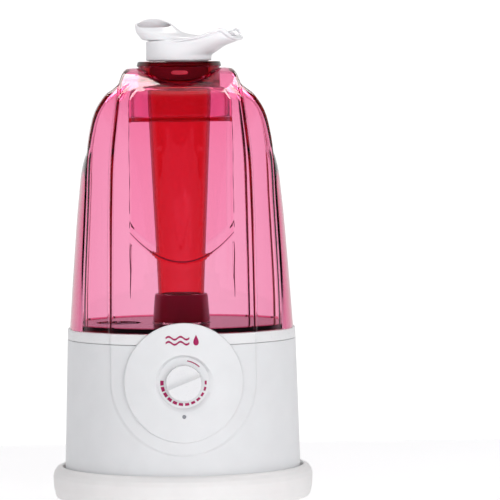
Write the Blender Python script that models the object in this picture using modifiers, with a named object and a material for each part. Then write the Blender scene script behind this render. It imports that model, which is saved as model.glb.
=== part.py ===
"""Cool mist humidifier: a white base with a basin, mist maker and fan, a translucent tank with a mist
chimney through it, and two swivelling mist outlets on top. Metres, +Z up, front towards -Y, and the
origin is on the floor at the centre of the plinth."""

import math

import bmesh
import bpy
from mathutils import Matrix, Vector

MM = 0.001
GAP = 0.3 * MM  # left between pieces that touch

# Plan shape of the base and plinth: an oval this much less deep than wide, on each side.
OVAL_DIFFERENCE = 7 * MM

# Base housing: its half width falls evenly with height.
HOUSING_HALF_WIDTH_AT_FLOOR = 92.6 * MM
HOUSING_TAPER = 0.0292
HOUSING_BOTTOM = 5.3 * MM
HOUSING_TOP = 126.0 * MM
HOUSING_WALL = 2.5 * MM

FOOT_RADIUS = 7 * MM
FOOT_HEIGHT = 2 * MM
FOOT_X = 72 * MM
FOOT_Y = 42 * MM
SCREW_X = 61 * MM
SCREW_Y = 56 * MM

# Control dial on the front.
DIAL_HEIGHT = 98 * MM
BIB_HALF_WIDTH = 55.5 * MM
BIB_RISE = 1.5 * MM
DISC_RADIUS = 45.5 * MM
DISC_BACK_RISE = 1.8 * MM
DISC_FRONT_RISE = 4.0 * MM
DISH_RADIUS = 22.3 * MM
DIAL_FACE = 83 * MM
KNOB_RADIUS = 13.8 * MM
KNOB_TIP = 93.8 * MM
KNOB_POINTER_DEGREES = 22  # the pointer at rest, below the nine o'clock direction
SHAFT_RADIUS = 3 * MM
LED_DROP = 25.8 * MM
LED_RADIUS = 1.5 * MM

# Rear panel.
GRILLE_HEIGHT = 78 * MM
GRILLE_HALF_WIDTH = 30 * MM
GRILLE_HALF_HEIGHT = 18 * MM
INLET_HEIGHT = 42 * MM

# Basin and what stands in it.
BASIN_FLOOR = 112 * MM
BASIN_UNDERSIDE = 109.5 * MM
TOWER_TOP = 150 * MM
TOWER_RADIUS = 16.5 * MM
TRANSDUCER_Y = -7.5 * MM
AIR_HOLE_Y = 8.8 * MM
CAP_X = -49 * MM
FLOAT_X = 50 * MM
FAN_Y = 38 * MM
FAN_TOP = 76.7 * MM

# Tank: three nested lobes, front view half widths and side view half depths by height.
TANK_WALL = 2.2 * MM
CENTRE_HALF_WIDTH = ((134.9, 56.4), (201, 55.5), (234, 54.8), (269, 53.4), (297, 50.5), (318, 47.8),
                     (329, 45.2), (334.6, 42.6), (337, 35))
CENTRE_HALF_DEPTH = ((134.9, 82.9), (145, 82.6), (201, 80), (234, 77), (262, 72.5), (285, 66.5), (303, 58.5),
                     (316, 49.5), (327, 38.5), (331, 32.5), (334, 24), (337, 5))
MIDDLE_HALF_WIDTH = ((134.9, 76.2), (163, 75.7), (234, 72.3), (276, 71), (292.5, 68.5), (306, 63),
                     (316, 55.9), (322, 49.3), (325, 46.5))
MIDDLE_HALF_DEPTH = ((134.9, 81), (201, 77.5), (234, 74), (262, 69), (285, 62), (303, 53.5), (316, 43),
                     (325, 31))
FRONT_OVAL_HALF_WIDTH = ((134.9, 90.2), (201, 88), (262, 84), (337, 80))
OUTER_HALF_WIDTH = ((134.9, 87), (186, 83.3), (238, 78.8), (262, 75.5), (272, 72), (279, 66))
OUTER_HALF_DEPTH = ((134.9, 78.4), (201, 74), (238, 69.5), (262, 64), (272, 60), (279, 54))
TANK_LEVELS = (134.9, 201, 238, 262, 272, 280, 297, 309, 318, 325, 332, 336.9)
CENTRE_POINTS, MIDDLE_POINTS, OUTER_POINTS = 4, 2, 4

COLLAR_RADIUS = 31.6 * MM
TURRET_BORE = 17.2 * MM

# Mist outlets.
OUTLET_RADIUS = 25.4 * MM
OUTLET_WALL = 1.8 * MM
SPIGOT_RADIUS = 22.9 * MM
UPPER_RADIUS = 23.2 * MM
SPOUT_DEGREES = -20  # the spout's direction at rest, turned a little to the front from +X
OUTLET_POINTS = 20

ROUND_STEPS = 16
WIDE_STEPS = 24  # for rings wider than about 40 mm
OVAL_STEPS = 40
SMALL_STEPS = 10

COLOURS = {
    "white_shell": ((0.86, 0.86, 0.88), 0.35, 0.0),
    "plinth_white": ((0.88, 0.87, 0.86), 0.4, 0.0),
    "tank_tint": ((0.85, 0.12, 0.3), 0.08, 0.0),
    "tank_dark": ((0.25, 0.02, 0.07), 0.12, 0.0),
    "grey_plastic": ((0.5, 0.5, 0.52), 0.5, 0.0),
    "black_plastic": ((0.05, 0.05, 0.05), 0.5, 0.0),
    "rubber": ((0.08, 0.08, 0.08), 0.8, 0.0),
    "steel": ((0.6, 0.6, 0.62), 0.3, 1.0),
    "aluminium": ((0.75, 0.75, 0.76), 0.35, 1.0),
    "board_green": ((0.03, 0.2, 0.08), 0.5, 0.0),
    "brass": ((0.7, 0.5, 0.2), 0.3, 1.0),
    "led_grey": ((0.4, 0.4, 0.42), 0.2, 0.0),
}


# ---------------------------------------------------------------- scene and object helpers

def clear_scene():
    for item in list(bpy.data.objects):
        bpy.data.objects.remove(item)


def new_collection(name):
    collection = bpy.data.collections.new(name)
    bpy.context.scene.collection.children.link(collection)
    return collection


clear_scene()
PARTS = new_collection("humidifier")
CUTTERS = new_collection("cutters")


def finish_of(node, slot):
    """The node's own material, with the slot's colour, roughness and metallic value."""
    colour, roughness, metallic = COLOURS[slot]
    material = bpy.data.materials.new(f"{node}_{slot}")
    material.use_nodes = True
    shader = material.node_tree.nodes["Principled BSDF"]
    shader.inputs["Base Color"].default_value = (*colour, 1)
    shader.inputs["Roughness"].default_value = roughness
    shader.inputs["Metallic"].default_value = metallic
    return material


def axis_empty(name, location, turned_to_front=False):
    """An empty on a joint's axis, whose +Z is the axis: up, or out of the front."""
    empty = bpy.data.objects.new(name, None)
    empty.location = location
    if turned_to_front:
        empty.rotation_euler = (math.radians(90), 0, 0)
    PARTS.objects.link(empty)
    return empty


def add_part(name, mesh, slot, location=(0, 0, 0), parent=None, smooth_degrees=35):
    item = bpy.data.objects.new(name, mesh)
    PARTS.objects.link(item)
    item.location = location
    item.parent = parent
    mesh.materials.clear()
    mesh.materials.append(finish_of(name, slot))
    mesh.shade_smooth()
    mesh.set_sharp_from_angle(angle=math.radians(smooth_degrees))
    return item


def add_cutter(name, mesh, location=(0, 0, 0)):
    item = bpy.data.objects.new(name, mesh)
    CUTTERS.objects.link(item)
    item.location = location
    item.hide_render = True
    item.display_type = "WIRE"
    return item


def combine(item, other, operation):
    """A Boolean on item: DIFFERENCE, UNION or INTERSECT with a cutter object."""
    modifier = item.modifiers.new(f"{operation.lower()}_{other.name}", "BOOLEAN")
    modifier.operation = operation
    modifier.object = other
    modifier.solver = "EXACT"


def mesh_of(item):
    """The evaluated mesh of a scratch object, which is then removed."""
    bpy.context.view_layer.update()
    graph = bpy.context.evaluated_depsgraph_get()
    mesh = bpy.data.meshes.new_from_object(item.evaluated_get(graph))
    bpy.data.objects.remove(item)
    return mesh


# ---------------------------------------------------------------- shape helpers

def turned(profile, steps=ROUND_STEPS, closed=True):
    """A turned body about Z. The profile is (radius, height) points in millimetres that run down the
    outer side; a closed profile makes a ring, an open one starts and ends on the axis."""
    mesh = bpy.data.meshes.new("profile")
    points = [(radius * MM, 0, height * MM) for radius, height in profile]
    edges = [(i, i + 1) for i in range(len(points) - 1)]
    if closed:
        edges.append((len(points) - 1, 0))
    mesh.from_pydata(points, edges, [])
    item = bpy.data.objects.new("profile", mesh)
    PARTS.objects.link(item)
    screw = item.modifiers.new("turn", "SCREW")
    screw.steps = steps
    screw.render_steps = steps
    screw.use_merge_vertices = True
    screw.merge_threshold = 0.00001
    return mesh_of(item)


def squash_to_oval(mesh):
    """Turns round sections into the base's oval: half depth is half width less OVAL_DIFFERENCE."""
    for vertex in mesh.vertices:
        radius = math.hypot(vertex.co.x, vertex.co.y)
        if radius > 2 * OVAL_DIFFERENCE:
            vertex.co.y *= (radius - OVAL_DIFFERENCE) / radius
        else:
            vertex.co.y *= 0.5
    return mesh


def oval(profile, closed=True):
    return squash_to_oval(turned(profile, OVAL_STEPS, closed))


def facing_front(mesh):
    """Turns a body made about Z to lie about Y, with its top towards the front."""
    mesh.transform(Matrix.Rotation(math.radians(90), 4, "X"))
    return mesh


def facing_back(mesh):
    mesh.transform(Matrix.Rotation(math.radians(-90), 4, "X"))
    return mesh


def box(size, centre=(0, 0, 0)):
    """A box of the given millimetre sides about a millimetre centre."""
    bm = bmesh.new()
    bmesh.ops.create_cube(bm, size=1)
    bmesh.ops.scale(bm, vec=Vector(size) * MM, verts=bm.verts)
    bmesh.ops.translate(bm, vec=Vector(centre) * MM, verts=bm.verts)
    return mesh_from(bm)


def around(radius, steps):
    """The corner radius of a many-sided hole whose flats lie on a circle of the given radius."""
    return radius / math.cos(math.pi / steps)


def cylinder(radius, bottom, top, steps=ROUND_STEPS):
    """An upright cylinder between two heights, in millimetres."""
    return turned([(0, top), (radius, top), (radius, bottom), (0, bottom)], steps, closed=False)


def mesh_from(bm):
    mesh = bpy.data.meshes.new("shape")
    bm.to_mesh(mesh)
    bm.free()
    return mesh


def rounded(item, width, segments=2, degrees=40):
    bevel = item.modifiers.new("rounding", "BEVEL")
    bevel.width = width
    bevel.segments = segments
    bevel.limit_method = "ANGLE"
    bevel.angle_limit = math.radians(degrees)
    return item


def loft(rings, cap_ends):
    """A skin through equal rings of points, closed round each ring, with flat ends if asked. The rings
    go upwards and each runs anticlockwise seen from above, so that the faces point outwards."""
    bm = bmesh.new()
    rows = [[bm.verts.new(point) for point in ring] for ring in rings]
    count = len(rings[0])
    for low, high in zip(rows, rows[1:]):
        for i in range(count):
            j = (i + 1) % count
            bm.faces.new((low[i], low[j], high[j], high[i]))
    if cap_ends:
        bm.faces.new(list(reversed(rows[0])))
        bm.faces.new(rows[-1])
    return mesh_from(bm)


def housing_half_width(height_mm):
    """The base's outer half width in millimetres at a height in millimetres."""
    return HOUSING_HALF_WIDTH_AT_FLOOR / MM - HOUSING_TAPER * height_mm


def base_shell(bottom, top, inner_rise, outer_rise):
    """A closed ring that follows the base's outer surface, between two rises above it."""
    return oval([
        (housing_half_width(top) + outer_rise, top),
        (housing_half_width(bottom) + outer_rise, bottom),
        (housing_half_width(bottom) + inner_rise, bottom),
        (housing_half_width(top) + inner_rise, top),
    ])


def front_cylinder(radius, steps=OVAL_STEPS):
    """A cylinder along Y over the front half only, in millimetres, about the dial's centre."""
    return facing_front(cylinder(radius, 20, 110, steps))


# ---------------------------------------------------------------- base: outside

def make_feet():
    for number, (x, y) in enumerate(corners(FOOT_X, FOOT_Y), 1):
        height = FOOT_HEIGHT / MM
        radius = FOOT_RADIUS / MM
        profile = [(0, height), (radius, height), (radius, 0.8), (radius - 0.8, 0), (0, 0)]
        add_part(f"rubber_foot_{number}", turned(profile, closed=False), "rubber", (x, y, 0))


def corners(x, y):
    return ((-x, -y), (x, -y), (x, y), (-x, y))


def make_plinth():
    """The wide flange that the base stands in: a shallow tray with a rounded outer edge."""
    profile = [(0, 5), (93.2, 5), (93.8, 26.4), (94.6, 27.4), (96.4, 27.2), (98.6, 25.9), (100.4, 23.4),
               (101.4, 19.5), (100.8, 11), (99.4, 4.8), (98.4, 3), (97, 2.3), (0, 2.3)]
    plinth = add_part("plinth", oval(profile, closed=False), "plinth_white")
    for number, (x, y) in enumerate(corners(SCREW_X, SCREW_Y), 1):
        hole = add_cutter(f"plinth_screw_hole_{number}", cylinder(2.1, 1, 8, SMALL_STEPS), (x, y, 0))
        combine(plinth, hole, "DIFFERENCE")
    for number in range(6):
        y = FAN_Y + (number - 2.5) * 6 * MM
        slot = add_cutter(f"plinth_air_slot_{number}", box((44, 3, 8), (0, 0, 4)), (0, y, 0))
        combine(plinth, slot, "DIFFERENCE")


def bib_outline_mesh():
    """The raised U on the front: straight sides from the top down to a half circle about the dial."""
    curve = bpy.data.curves.new("bib", "CURVE")
    curve.dimensions = "2D"
    curve.fill_mode = "BOTH"
    curve.extrude = 40 * MM
    spline = curve.splines.new("POLY")
    half = BIB_HALF_WIDTH
    arc = [(-half * math.cos(a), -half * math.sin(a)) for a in (math.pi * i / 24 for i in range(25))]
    points = [(half, 40 * MM), (-half, 40 * MM)] + arc
    spline.points.add(len(points) - 1)
    for point, (x, y) in zip(spline.points, points):
        point.co = (x, y, 0, 1)
    spline.use_cyclic_u = True
    item = bpy.data.objects.new("bib", curve)
    PARTS.objects.link(item)
    mesh = mesh_of(item)
    bm = bmesh.new()
    bm.from_mesh(mesh)
    bmesh.ops.remove_doubles(bm, verts=bm.verts, dist=0.000001)
    bm.to_mesh(mesh)
    bm.free()
    return facing_front(mesh)


def make_housing():
    bottom, top = HOUSING_BOTTOM / MM, HOUSING_TOP / MM
    housing = add_part("base_housing", base_shell(bottom, top, -HOUSING_WALL / MM, 0), "white_shell")
    bib = add_cutter("bib_body", base_shell(30, top, -1, BIB_RISE / MM))
    outline = add_cutter("bib_outline", bib_outline_mesh(), (0, -70 * MM, DIAL_HEIGHT))
    combine(bib, outline, "INTERSECT")
    combine(housing, bib, "UNION")
    for number, (x, y) in enumerate(corners(SCREW_X, SCREW_Y), 1):
        boss = add_cutter(f"boss_{number}", cylinder(5, 8, 30, SMALL_STEPS), (x, y, 0))
        combine(housing, boss, "UNION")
        hole = add_cutter(f"boss_hole_{number}", cylinder(1.9, 5, 22, SMALL_STEPS), (x, y, 0))
        combine(housing, hole, "DIFFERENCE")
    cutters = (
        add_cutter("dish_hole", front_cylinder(DISH_RADIUS / MM + 0.3), (0, 0, DIAL_HEIGHT)),
        add_cutter("led_hole", front_cylinder(1.8, SMALL_STEPS), (0, 0, DIAL_HEIGHT - LED_DROP)),
        add_cutter("grille_window", box((60.6, 40, 36.6)), (0, 80 * MM, GRILLE_HEIGHT)),
        add_cutter("inlet_hole", facing_back(cylinder(7.3, 40, 110)), (0, 0, INLET_HEIGHT)),
    )
    for cutter in cutters:
        combine(housing, cutter, "DIFFERENCE")


def make_front_disc():
    plate = base_shell(45, 150, DISC_BACK_RISE / MM, DISC_FRONT_RISE / MM)
    disc = add_part("front_disc", plate, "white_shell")
    outline = add_cutter("disc_outline", front_cylinder(DISC_RADIUS / MM), (0, 0, DIAL_HEIGHT))
    combine(disc, outline, "INTERSECT")
    for name in ("dish_hole", "led_hole"):
        combine(disc, bpy.data.objects[name], "DIFFERENCE")


def make_dial_dish():
    """The recessed cup round the knob, trimmed to the disc's surface."""
    face, radius = DIAL_FACE / MM, DISH_RADIUS / MM
    profile = [(radius - 0.5, 92), (radius, 92), (radius, face - 1.8), (4.5, face - 1.8), (4.5, face),
               (19.2, face), (20.3, face + 0.3), (21.2, face + 1.2), (21.6, face + 2.6)]
    cup = facing_front(turned(profile, WIDE_STEPS))
    dish = add_part("dial_dish", cup, "white_shell", (0, 0, DIAL_HEIGHT))
    surface = add_cutter("dish_trim", oval([(0, 150), (housing_half_width(150) + 4, 150),
                                            (housing_half_width(45) + 4, 45), (0, 45)], closed=False))
    combine(dish, surface, "INTERSECT")


def make_knob(axis):
    """A round knob with two scoops that leave a pinched crest, which is its pointer."""
    base = DIAL_FACE / MM + 0.5
    tip = KNOB_TIP / MM
    radius = KNOB_RADIUS / MM
    profile = [(0, tip), (radius - 2.4, tip), (radius - 0.8, tip - 1.4), (radius, base + 2.4), (radius, base),
               (0, base)]
    mesh = turned(profile, WIDE_STEPS, closed=False)
    knob = add_part("knob", mesh, "white_shell", parent=axis)
    turn = Matrix.Rotation(math.radians(KNOB_POINTER_DEGREES), 4, "Z")
    for side in (-1, 1):
        scoop = cylinder(14, -20, 20, WIDE_STEPS)
        scoop.transform(Matrix.Rotation(math.radians(90), 4, "Y"))
        scoop.transform(Matrix.Translation((0, side * 14.9 * MM, (base + 15.5) * MM)))
        scoop.transform(turn)
        cutter = add_cutter(f"knob_scoop_{side}", facing_front(scoop), (0, 0, DIAL_HEIGHT))
        combine(knob, cutter, "DIFFERENCE")
    bore = facing_front(cylinder(SHAFT_RADIUS / MM + 0.3, 60, base + 5.6, SMALL_STEPS))
    combine(knob, add_cutter("knob_socket", bore, (0, 0, DIAL_HEIGHT)), "DIFFERENCE")
    add_part("knob_shaft", cylinder(SHAFT_RADIUS / MM, 64, base + 5.3, SMALL_STEPS), "brass", parent=axis)


def make_potentiometer():
    face = DIAL_FACE / MM
    bore = around(SHAFT_RADIUS / MM + 0.05, SMALL_STEPS)
    profile = [(bore, face - 2.1), (4.2, face - 2.1), (4.2, face - 4.5), (8.5, face - 4.5), (8.5, face - 14.5),
               (bore, face - 14.5)]
    body = facing_front(turned(profile, SMALL_STEPS))
    add_part("potentiometer", body, "grey_plastic", (0, 0, DIAL_HEIGHT))
    nut = turned([(5, face - 2.3), (7.2, face - 2.3), (7.2, face - 4.2), (5, face - 4.2)], 6)
    add_part("potentiometer_nut", facing_front(nut), "steel", (0, 0, DIAL_HEIGHT))


def make_led():
    height = DIAL_HEIGHT - LED_DROP
    radius = LED_RADIUS / MM
    profile = [(0, 87.9), (radius - 0.6, 87.6), (radius, 86.9), (radius, 80), (0, 80)]
    lens = facing_front(turned(profile, SMALL_STEPS, closed=False))
    add_part("led_lens", lens, "led_grey", (0, 0, height))
    holder = facing_front(cylinder(2.6, 76, 79.7, SMALL_STEPS))
    add_part("led_holder", holder, "black_plastic", (0, 0, height))


def make_rear_panel():
    """The louvred air grille and the gland for the lead, in the back of the housing."""
    low = (GRILLE_HEIGHT - GRILLE_HALF_HEIGHT) / MM
    high = (GRILLE_HEIGHT + GRILLE_HALF_HEIGHT) / MM
    grille = add_part("air_grille", base_shell(low, high, -2.2, 0.3), "white_shell")
    window = box((2 * GRILLE_HALF_WIDTH / MM, 60, 60))
    combine(grille, add_cutter("grille_outline", window, (0, 80 * MM, GRILLE_HEIGHT)), "INTERSECT")
    for number in range(6):
        height = GRILLE_HEIGHT + (number - 2.5) * 5.4 * MM
        slot = add_cutter(f"grille_slot_{number}", box((52, 40, 2.6)), (0, 80 * MM, height))
        combine(grille, slot, "DIFFERENCE")
    profile = [(3.3, 87), (6.2, 87), (8.8, 86.2), (9.2, 84.9), (7, 84.9), (7, 80.2), (9.2, 80.2), (9.2, 78),
               (3.3, 78)]
    add_part("lead_gland", facing_back(turned(profile, ROUND_STEPS)), "rubber", (0, 0, INLET_HEIGHT))


# ---------------------------------------------------------------- base: inside

def make_basin():
    """The water basin. Its outer band is the top ring of the base, and the tank stands on its rim."""
    profile = [(0, 112), (74, 112), (77.5, 113), (79.5, 116), (83.2, 134.6), (88.2, 134.6), (88.7, 134.1),
               (88.95, 126.4), (86, 126.4), (86, 122.3), (83.6, 122.3), (81.6, 113.5), (78, 109.5),
               (0, 109.5)]
    basin = add_part("water_basin", oval(profile, closed=False), "white_shell")
    cutters = (
        add_cutter("transducer_hole", cylinder(6, 100, 120, ROUND_STEPS), (0, TRANSDUCER_Y, 0)),
        add_cutter("air_hole", box((11, 7.4, 20), (0, 0, 111)), (0, AIR_HOLE_Y, 0)),
    )
    for cutter in cutters:
        combine(basin, cutter, "DIFFERENCE")


def make_mist_tower():
    """A tube with a cross wall: mist rises in front of it, and the fan's air comes up behind."""
    floor, top = (BASIN_FLOOR + GAP) / MM, TOWER_TOP / MM
    outer = TOWER_RADIUS / MM
    profile = [(outer - 2, top), (outer, top), (outer, floor), (outer - 2, floor)]
    tower = add_part("mist_tower", turned(profile, WIDE_STEPS), "grey_plastic")
    wall = add_cutter("tower_wall", box((29.8, 1.6, 32), (0, 3.2, floor + 16)))
    combine(tower, wall, "UNION")
    slot = add_cutter("tower_slot", box((12, 20, 6), (0, -16, floor + 1)))
    combine(tower, slot, "DIFFERENCE")


def make_transducer():
    place = (0, TRANSDUCER_Y, 0)
    seal = turned([(6, 109.2), (8.2, 109.2), (8.2, 107.8), (6, 107.8)], ROUND_STEPS)
    add_part("transducer_seal", seal, "rubber", place)
    add_part("transducer_disc", cylinder(8.2, 106.3, 107.5, ROUND_STEPS), "brass", place)
    profile = [(8.6, 109.2), (10.6, 109.2), (10.6, 103.4), (3, 103.4), (3, 105.6), (8.6, 105.6)]
    add_part("transducer_holder", turned(profile, ROUND_STEPS), "aluminium", place)


def make_float(axis):
    """The low water float on its post, and the switch under the basin that it works."""
    floor = (BASIN_FLOOR + GAP) / MM
    add_part("float_post", cylinder(3, floor, 128.8, SMALL_STEPS), "grey_plastic", (FLOAT_X, 0, 0))
    add_part("float_clip", cylinder(5.5, 129.1, 131.1, SMALL_STEPS), "grey_plastic", (FLOAT_X, 0, 0))
    bore = around(3.06, ROUND_STEPS)
    profile = [(bore, 120.5), (11, 120.5), (12, 119.5), (12, 113.6), (11, 112.6), (bore, 112.6)]
    add_part("float", turned(profile, ROUND_STEPS), "grey_plastic", parent=axis)
    switch = cylinder(4, 98, BASIN_UNDERSIDE / MM - 0.3, SMALL_STEPS)
    add_part("float_switch", switch, "black_plastic", (FLOAT_X, 0, 0))


def make_fan(axis):
    """A square fan under the basin that blows up a duct into the mist tower."""
    top, bottom = FAN_TOP / MM, FAN_TOP / MM - 15
    frame = add_part("fan_frame", box((50, 50, 15), (0, 0, top - 7.5)), "black_plastic", (0, FAN_Y, 0))
    bore = add_cutter("fan_bore", cylinder(23.4, bottom + 2.4, top + 5, WIDE_STEPS), (0, FAN_Y, 0))
    combine(frame, bore, "DIFFERENCE")
    profile = [(9.5, bottom + 4), (23.4, bottom + 4), (23.4, bottom - 4), (9.5, bottom - 4)]
    ring = add_cutter("fan_ring", turned(profile, WIDE_STEPS), (0, FAN_Y, 0))
    for number in range(3):
        strut = box((4, 60, 20))
        strut.transform(Matrix.Rotation(math.radians(60 * number), 4, "Z"))
        combine(ring, add_cutter(f"fan_strut_{number}", strut, (0, FAN_Y, bottom * MM)), "DIFFERENCE")
    combine(frame, ring, "DIFFERENCE")
    make_impeller(axis, bottom + 2.8, top - 1)


def make_impeller(axis, bottom, top):
    hub = add_part("fan_impeller", cylinder(9, bottom, top, ROUND_STEPS), "black_plastic", parent=axis)
    for number in range(7):
        blade = box((14.4, 1.4, top - bottom + 1), (15.3, 0, 0))
        blade.transform(Matrix.Rotation(math.radians(40), 4, "X"))
        blade.transform(Matrix.Rotation(math.radians(360 * number / 7), 4, "Z"))
        middle = (bottom + top) / 2 * MM
        combine(hub, add_cutter(f"fan_blade_{number}", blade, (0, FAN_Y, middle)), "UNION")


def rectangle(width, depth, y, z):
    """Four points of a level rectangle, in millimetres."""
    return [(sx * width / 2 * MM, (y + sy * depth / 2) * MM, z * MM)
            for sx, sy in ((-1, -1), (1, -1), (1, 1), (-1, 1))]


def make_duct():
    fan_y, hole_y = FAN_Y / MM, AIR_HOLE_Y / MM
    top = BASIN_UNDERSIDE / MM - 0.3
    rings = [rectangle(49, 49, fan_y, FAN_TOP / MM + 0.3), rectangle(49, 49, fan_y, FAN_TOP / MM + 5),
             rectangle(14, 10.4, hole_y, top - 6), rectangle(14, 10.4, hole_y, top)]
    duct = add_part("air_duct", loft(rings, cap_ends=False), "grey_plastic")
    skin = duct.modifiers.new("wall", "SOLIDIFY")
    skin.thickness = 1.4 * MM
    skin.offset = -1


def make_electronics():
    """The drive board on four pillars, with its power module, heat sink and capacitor."""
    board_top = 21.6
    add_part("drive_board", box((88, 56, 1.6), (0, -12, board_top - 0.8)), "board_green")
    for number, (x, y) in enumerate(corners(38, 22), 1):
        pillar = cylinder(2.6, 5.3, 19.7, SMALL_STEPS)
        add_part(f"board_pillar_{number}", pillar, "grey_plastic", (x * MM, (y - 12) * MM, 0))
    module = add_part("power_module", box((34, 28, 22), (-22, -14, board_top + 11.3)), "black_plastic")
    rounded(module, 1.2 * MM)
    can = cylinder(6, board_top + 0.3, 40, SMALL_STEPS)
    add_part("capacitor", can, "black_plastic", (6 * MM, 2 * MM, 0))
    sink = add_part("heat_sink", box((26, 22, 20), (26, -18, board_top + 10.3)), "aluminium")
    for number in range(4):
        slot = box((3, 40, 20), (17.5 + 5.7 * number, -18, board_top + 14.3))
        combine(sink, add_cutter(f"sink_slot_{number}", slot), "DIFFERENCE")


def make_screws():
    for number, (x, y) in enumerate(corners(SCREW_X, SCREW_Y), 1):
        profile = [(0, 18), (1.6, 16.8), (1.6, 2), (3.8, 2), (3.8, 1), (3.2, 0.6), (0, 0.6)]
        add_part(f"base_screw_{number}", turned(profile, SMALL_STEPS, closed=False), "steel", (x, y, 0))


# ---------------------------------------------------------------- tank

def read_table(table, position):
    """The value at a position, read straight between the nearest entries of a (position, value) table."""
    if position <= table[0][0]:
        return table[0][1]
    for (low, first), (high, second) in zip(table, table[1:]):
        if position <= high:
            return first + (second - first) * (position - low) / (high - low)
    return table[-1][1]


def lobe(width_table, depth_table, height_mm, inset):
    return read_table(width_table, height_mm) - inset, read_table(depth_table, height_mm) - inset


def depth_at(x, width, depth):
    """Half depth of an ellipse at x."""
    return depth * math.sqrt(max(0, 1 - (x / width) ** 2))


def tank_quadrant(height_mm, inset):
    """The outline of one quarter of the tank's section, from the front middle round to the side. The
    centre lobe stands proud of the middle one, and that of the outer one, with a step between."""
    lift = inset * 1.05
    centre_width, centre_depth = lobe(CENTRE_HALF_WIDTH, CENTRE_HALF_DEPTH, height_mm + lift, inset)
    middle_width, middle_depth = lobe(MIDDLE_HALF_WIDTH, MIDDLE_HALF_DEPTH, height_mm + lift, inset)
    outer_width, outer_depth = lobe(OUTER_HALF_WIDTH, OUTER_HALF_DEPTH, height_mm + lift, inset)
    if height_mm + lift > MIDDLE_HALF_WIDTH[-1][0]:
        middle_width, middle_depth = centre_width, 0
    middle_width = max(middle_width, centre_width + 0.05)
    has_outer = height_mm + lift <= OUTER_HALF_WIDTH[-1][0] and outer_width > middle_width
    oval_width = read_table(FRONT_OVAL_HALF_WIDTH, height_mm + lift) - inset
    centre_edge = depth_at(centre_width, oval_width, centre_depth)
    middle_near = min(depth_at(centre_width, oval_width, middle_depth), centre_edge - 0.05)
    middle_edge = min(depth_at(middle_width, oval_width, middle_depth), middle_near)
    middle_near, middle_edge = max(middle_near, 0.4), max(middle_edge, 0.35)
    side_width = outer_width if has_outer else middle_width
    side_depth = min(depth_at(middle_width, oval_width, outer_depth), middle_edge - 0.05)
    side_depth = max(side_depth if has_outer else middle_edge - 0.05, 0.3)
    points = []
    for i in range(CENTRE_POINTS):
        x = centre_width * i / (CENTRE_POINTS - 1)
        points.append((x, depth_at(x, oval_width, centre_depth)))
    for i in range(MIDDLE_POINTS):
        share = i / (MIDDLE_POINTS - 1)
        x = centre_width + (middle_width - centre_width) * share
        points.append((x, middle_near + (middle_edge - middle_near) * share ** 1.5))
    for i in range(OUTER_POINTS):
        angle = math.pi / 2 * i / (OUTER_POINTS - 1)
        x = middle_width + (side_width - middle_width) * math.sin(angle)
        points.append((x, side_depth * math.cos(angle)))
    return points


def tank_ring(height_mm, inset):
    """The tank's whole section at a height, all round from the front middle."""
    quarter = tank_quadrant(height_mm, inset)
    right_front = [(x, -y) for x, y in quarter]
    right_back = [(x, y) for x, y in reversed(quarter[:-1])]
    left_back = [(-x, y) for x, y in quarter[1:]]
    left_front = [(-x, -y) for x, y in reversed(quarter[1:-1])]
    outline = right_front + right_back + left_back + left_front
    return [(x * MM, y * MM, height_mm * MM) for x, y in outline]


def make_tank_shell():
    shell = add_part("tank_shell", loft([tank_ring(z, 0) for z in TANK_LEVELS], True), "tank_tint")
    wall = TANK_WALL / MM
    levels = [134, 147] + [z - wall for z in TANK_LEVELS[1:]]
    inside = add_cutter("tank_inside", loft([tank_ring(z, wall) for z in levels], True))
    combine(shell, inside, "DIFFERENCE")
    hole = add_cutter("collar_hole", cylinder(COLLAR_RADIUS / MM + 0.3, 300, 350, WIDE_STEPS))
    combine(shell, hole, "DIFFERENCE")


def make_tank_floor():
    """The tank's floor: a tray welded into the shell, with the turret that the chimney plugs into and
    the threaded neck for the filler cap under it."""
    inset = TANK_WALL / MM + 0.3
    floor = add_part("tank_floor", loft([tank_ring(z, inset) for z in (135.2, 147)], True), "tank_dark")
    hollow = add_cutter("tray_hollow", loft([tank_ring(z, inset + 1.8) for z in (138.4, 160)], True))
    combine(floor, hollow, "DIFFERENCE")
    profile = [(17, 161), (19.6, 161), (20.3, 160.3), (20.9, 157), (22.1, 140), (22.1, 136), (17, 136)]
    combine(floor, add_cutter("turret", turned(profile, WIDE_STEPS)), "UNION")
    neck = turned([(17.4, 137), (20, 137), (20, 124), (17.4, 124)], WIDE_STEPS)
    combine(floor, add_cutter("neck", neck, (CAP_X, 0, 0)), "UNION")
    cutters = (
        add_cutter("turret_bore", cylinder(TURRET_BORE / MM, 120, 170, WIDE_STEPS)),
        add_cutter("chimney_seat", cylinder(18.2, 150.7, 170, WIDE_STEPS)),
        add_cutter("neck_bore", cylinder(17.5, 120, 142, WIDE_STEPS), (CAP_X, 0, 0)),
    )
    for cutter in cutters:
        combine(floor, cutter, "DIFFERENCE")


def make_chimney():
    profile = [(22.6, 323), (27.4, 323), (27.4, 321.3), (24.6, 321.3), (24.5, 316), (21, 234), (19.5, 201),
               (17.9, 163), (17.9, 151), (15.9, 151), (15.9, 163), (17.5, 201), (19, 234), (22.5, 316)]
    add_part("chimney_tube", turned(profile, WIDE_STEPS), "tank_tint")
    seal = turned([(23, 324.4), (27.2, 324.4), (27.2, 323.3), (23, 323.3)], WIDE_STEPS)
    add_part("chimney_seal", seal, "rubber")


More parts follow.
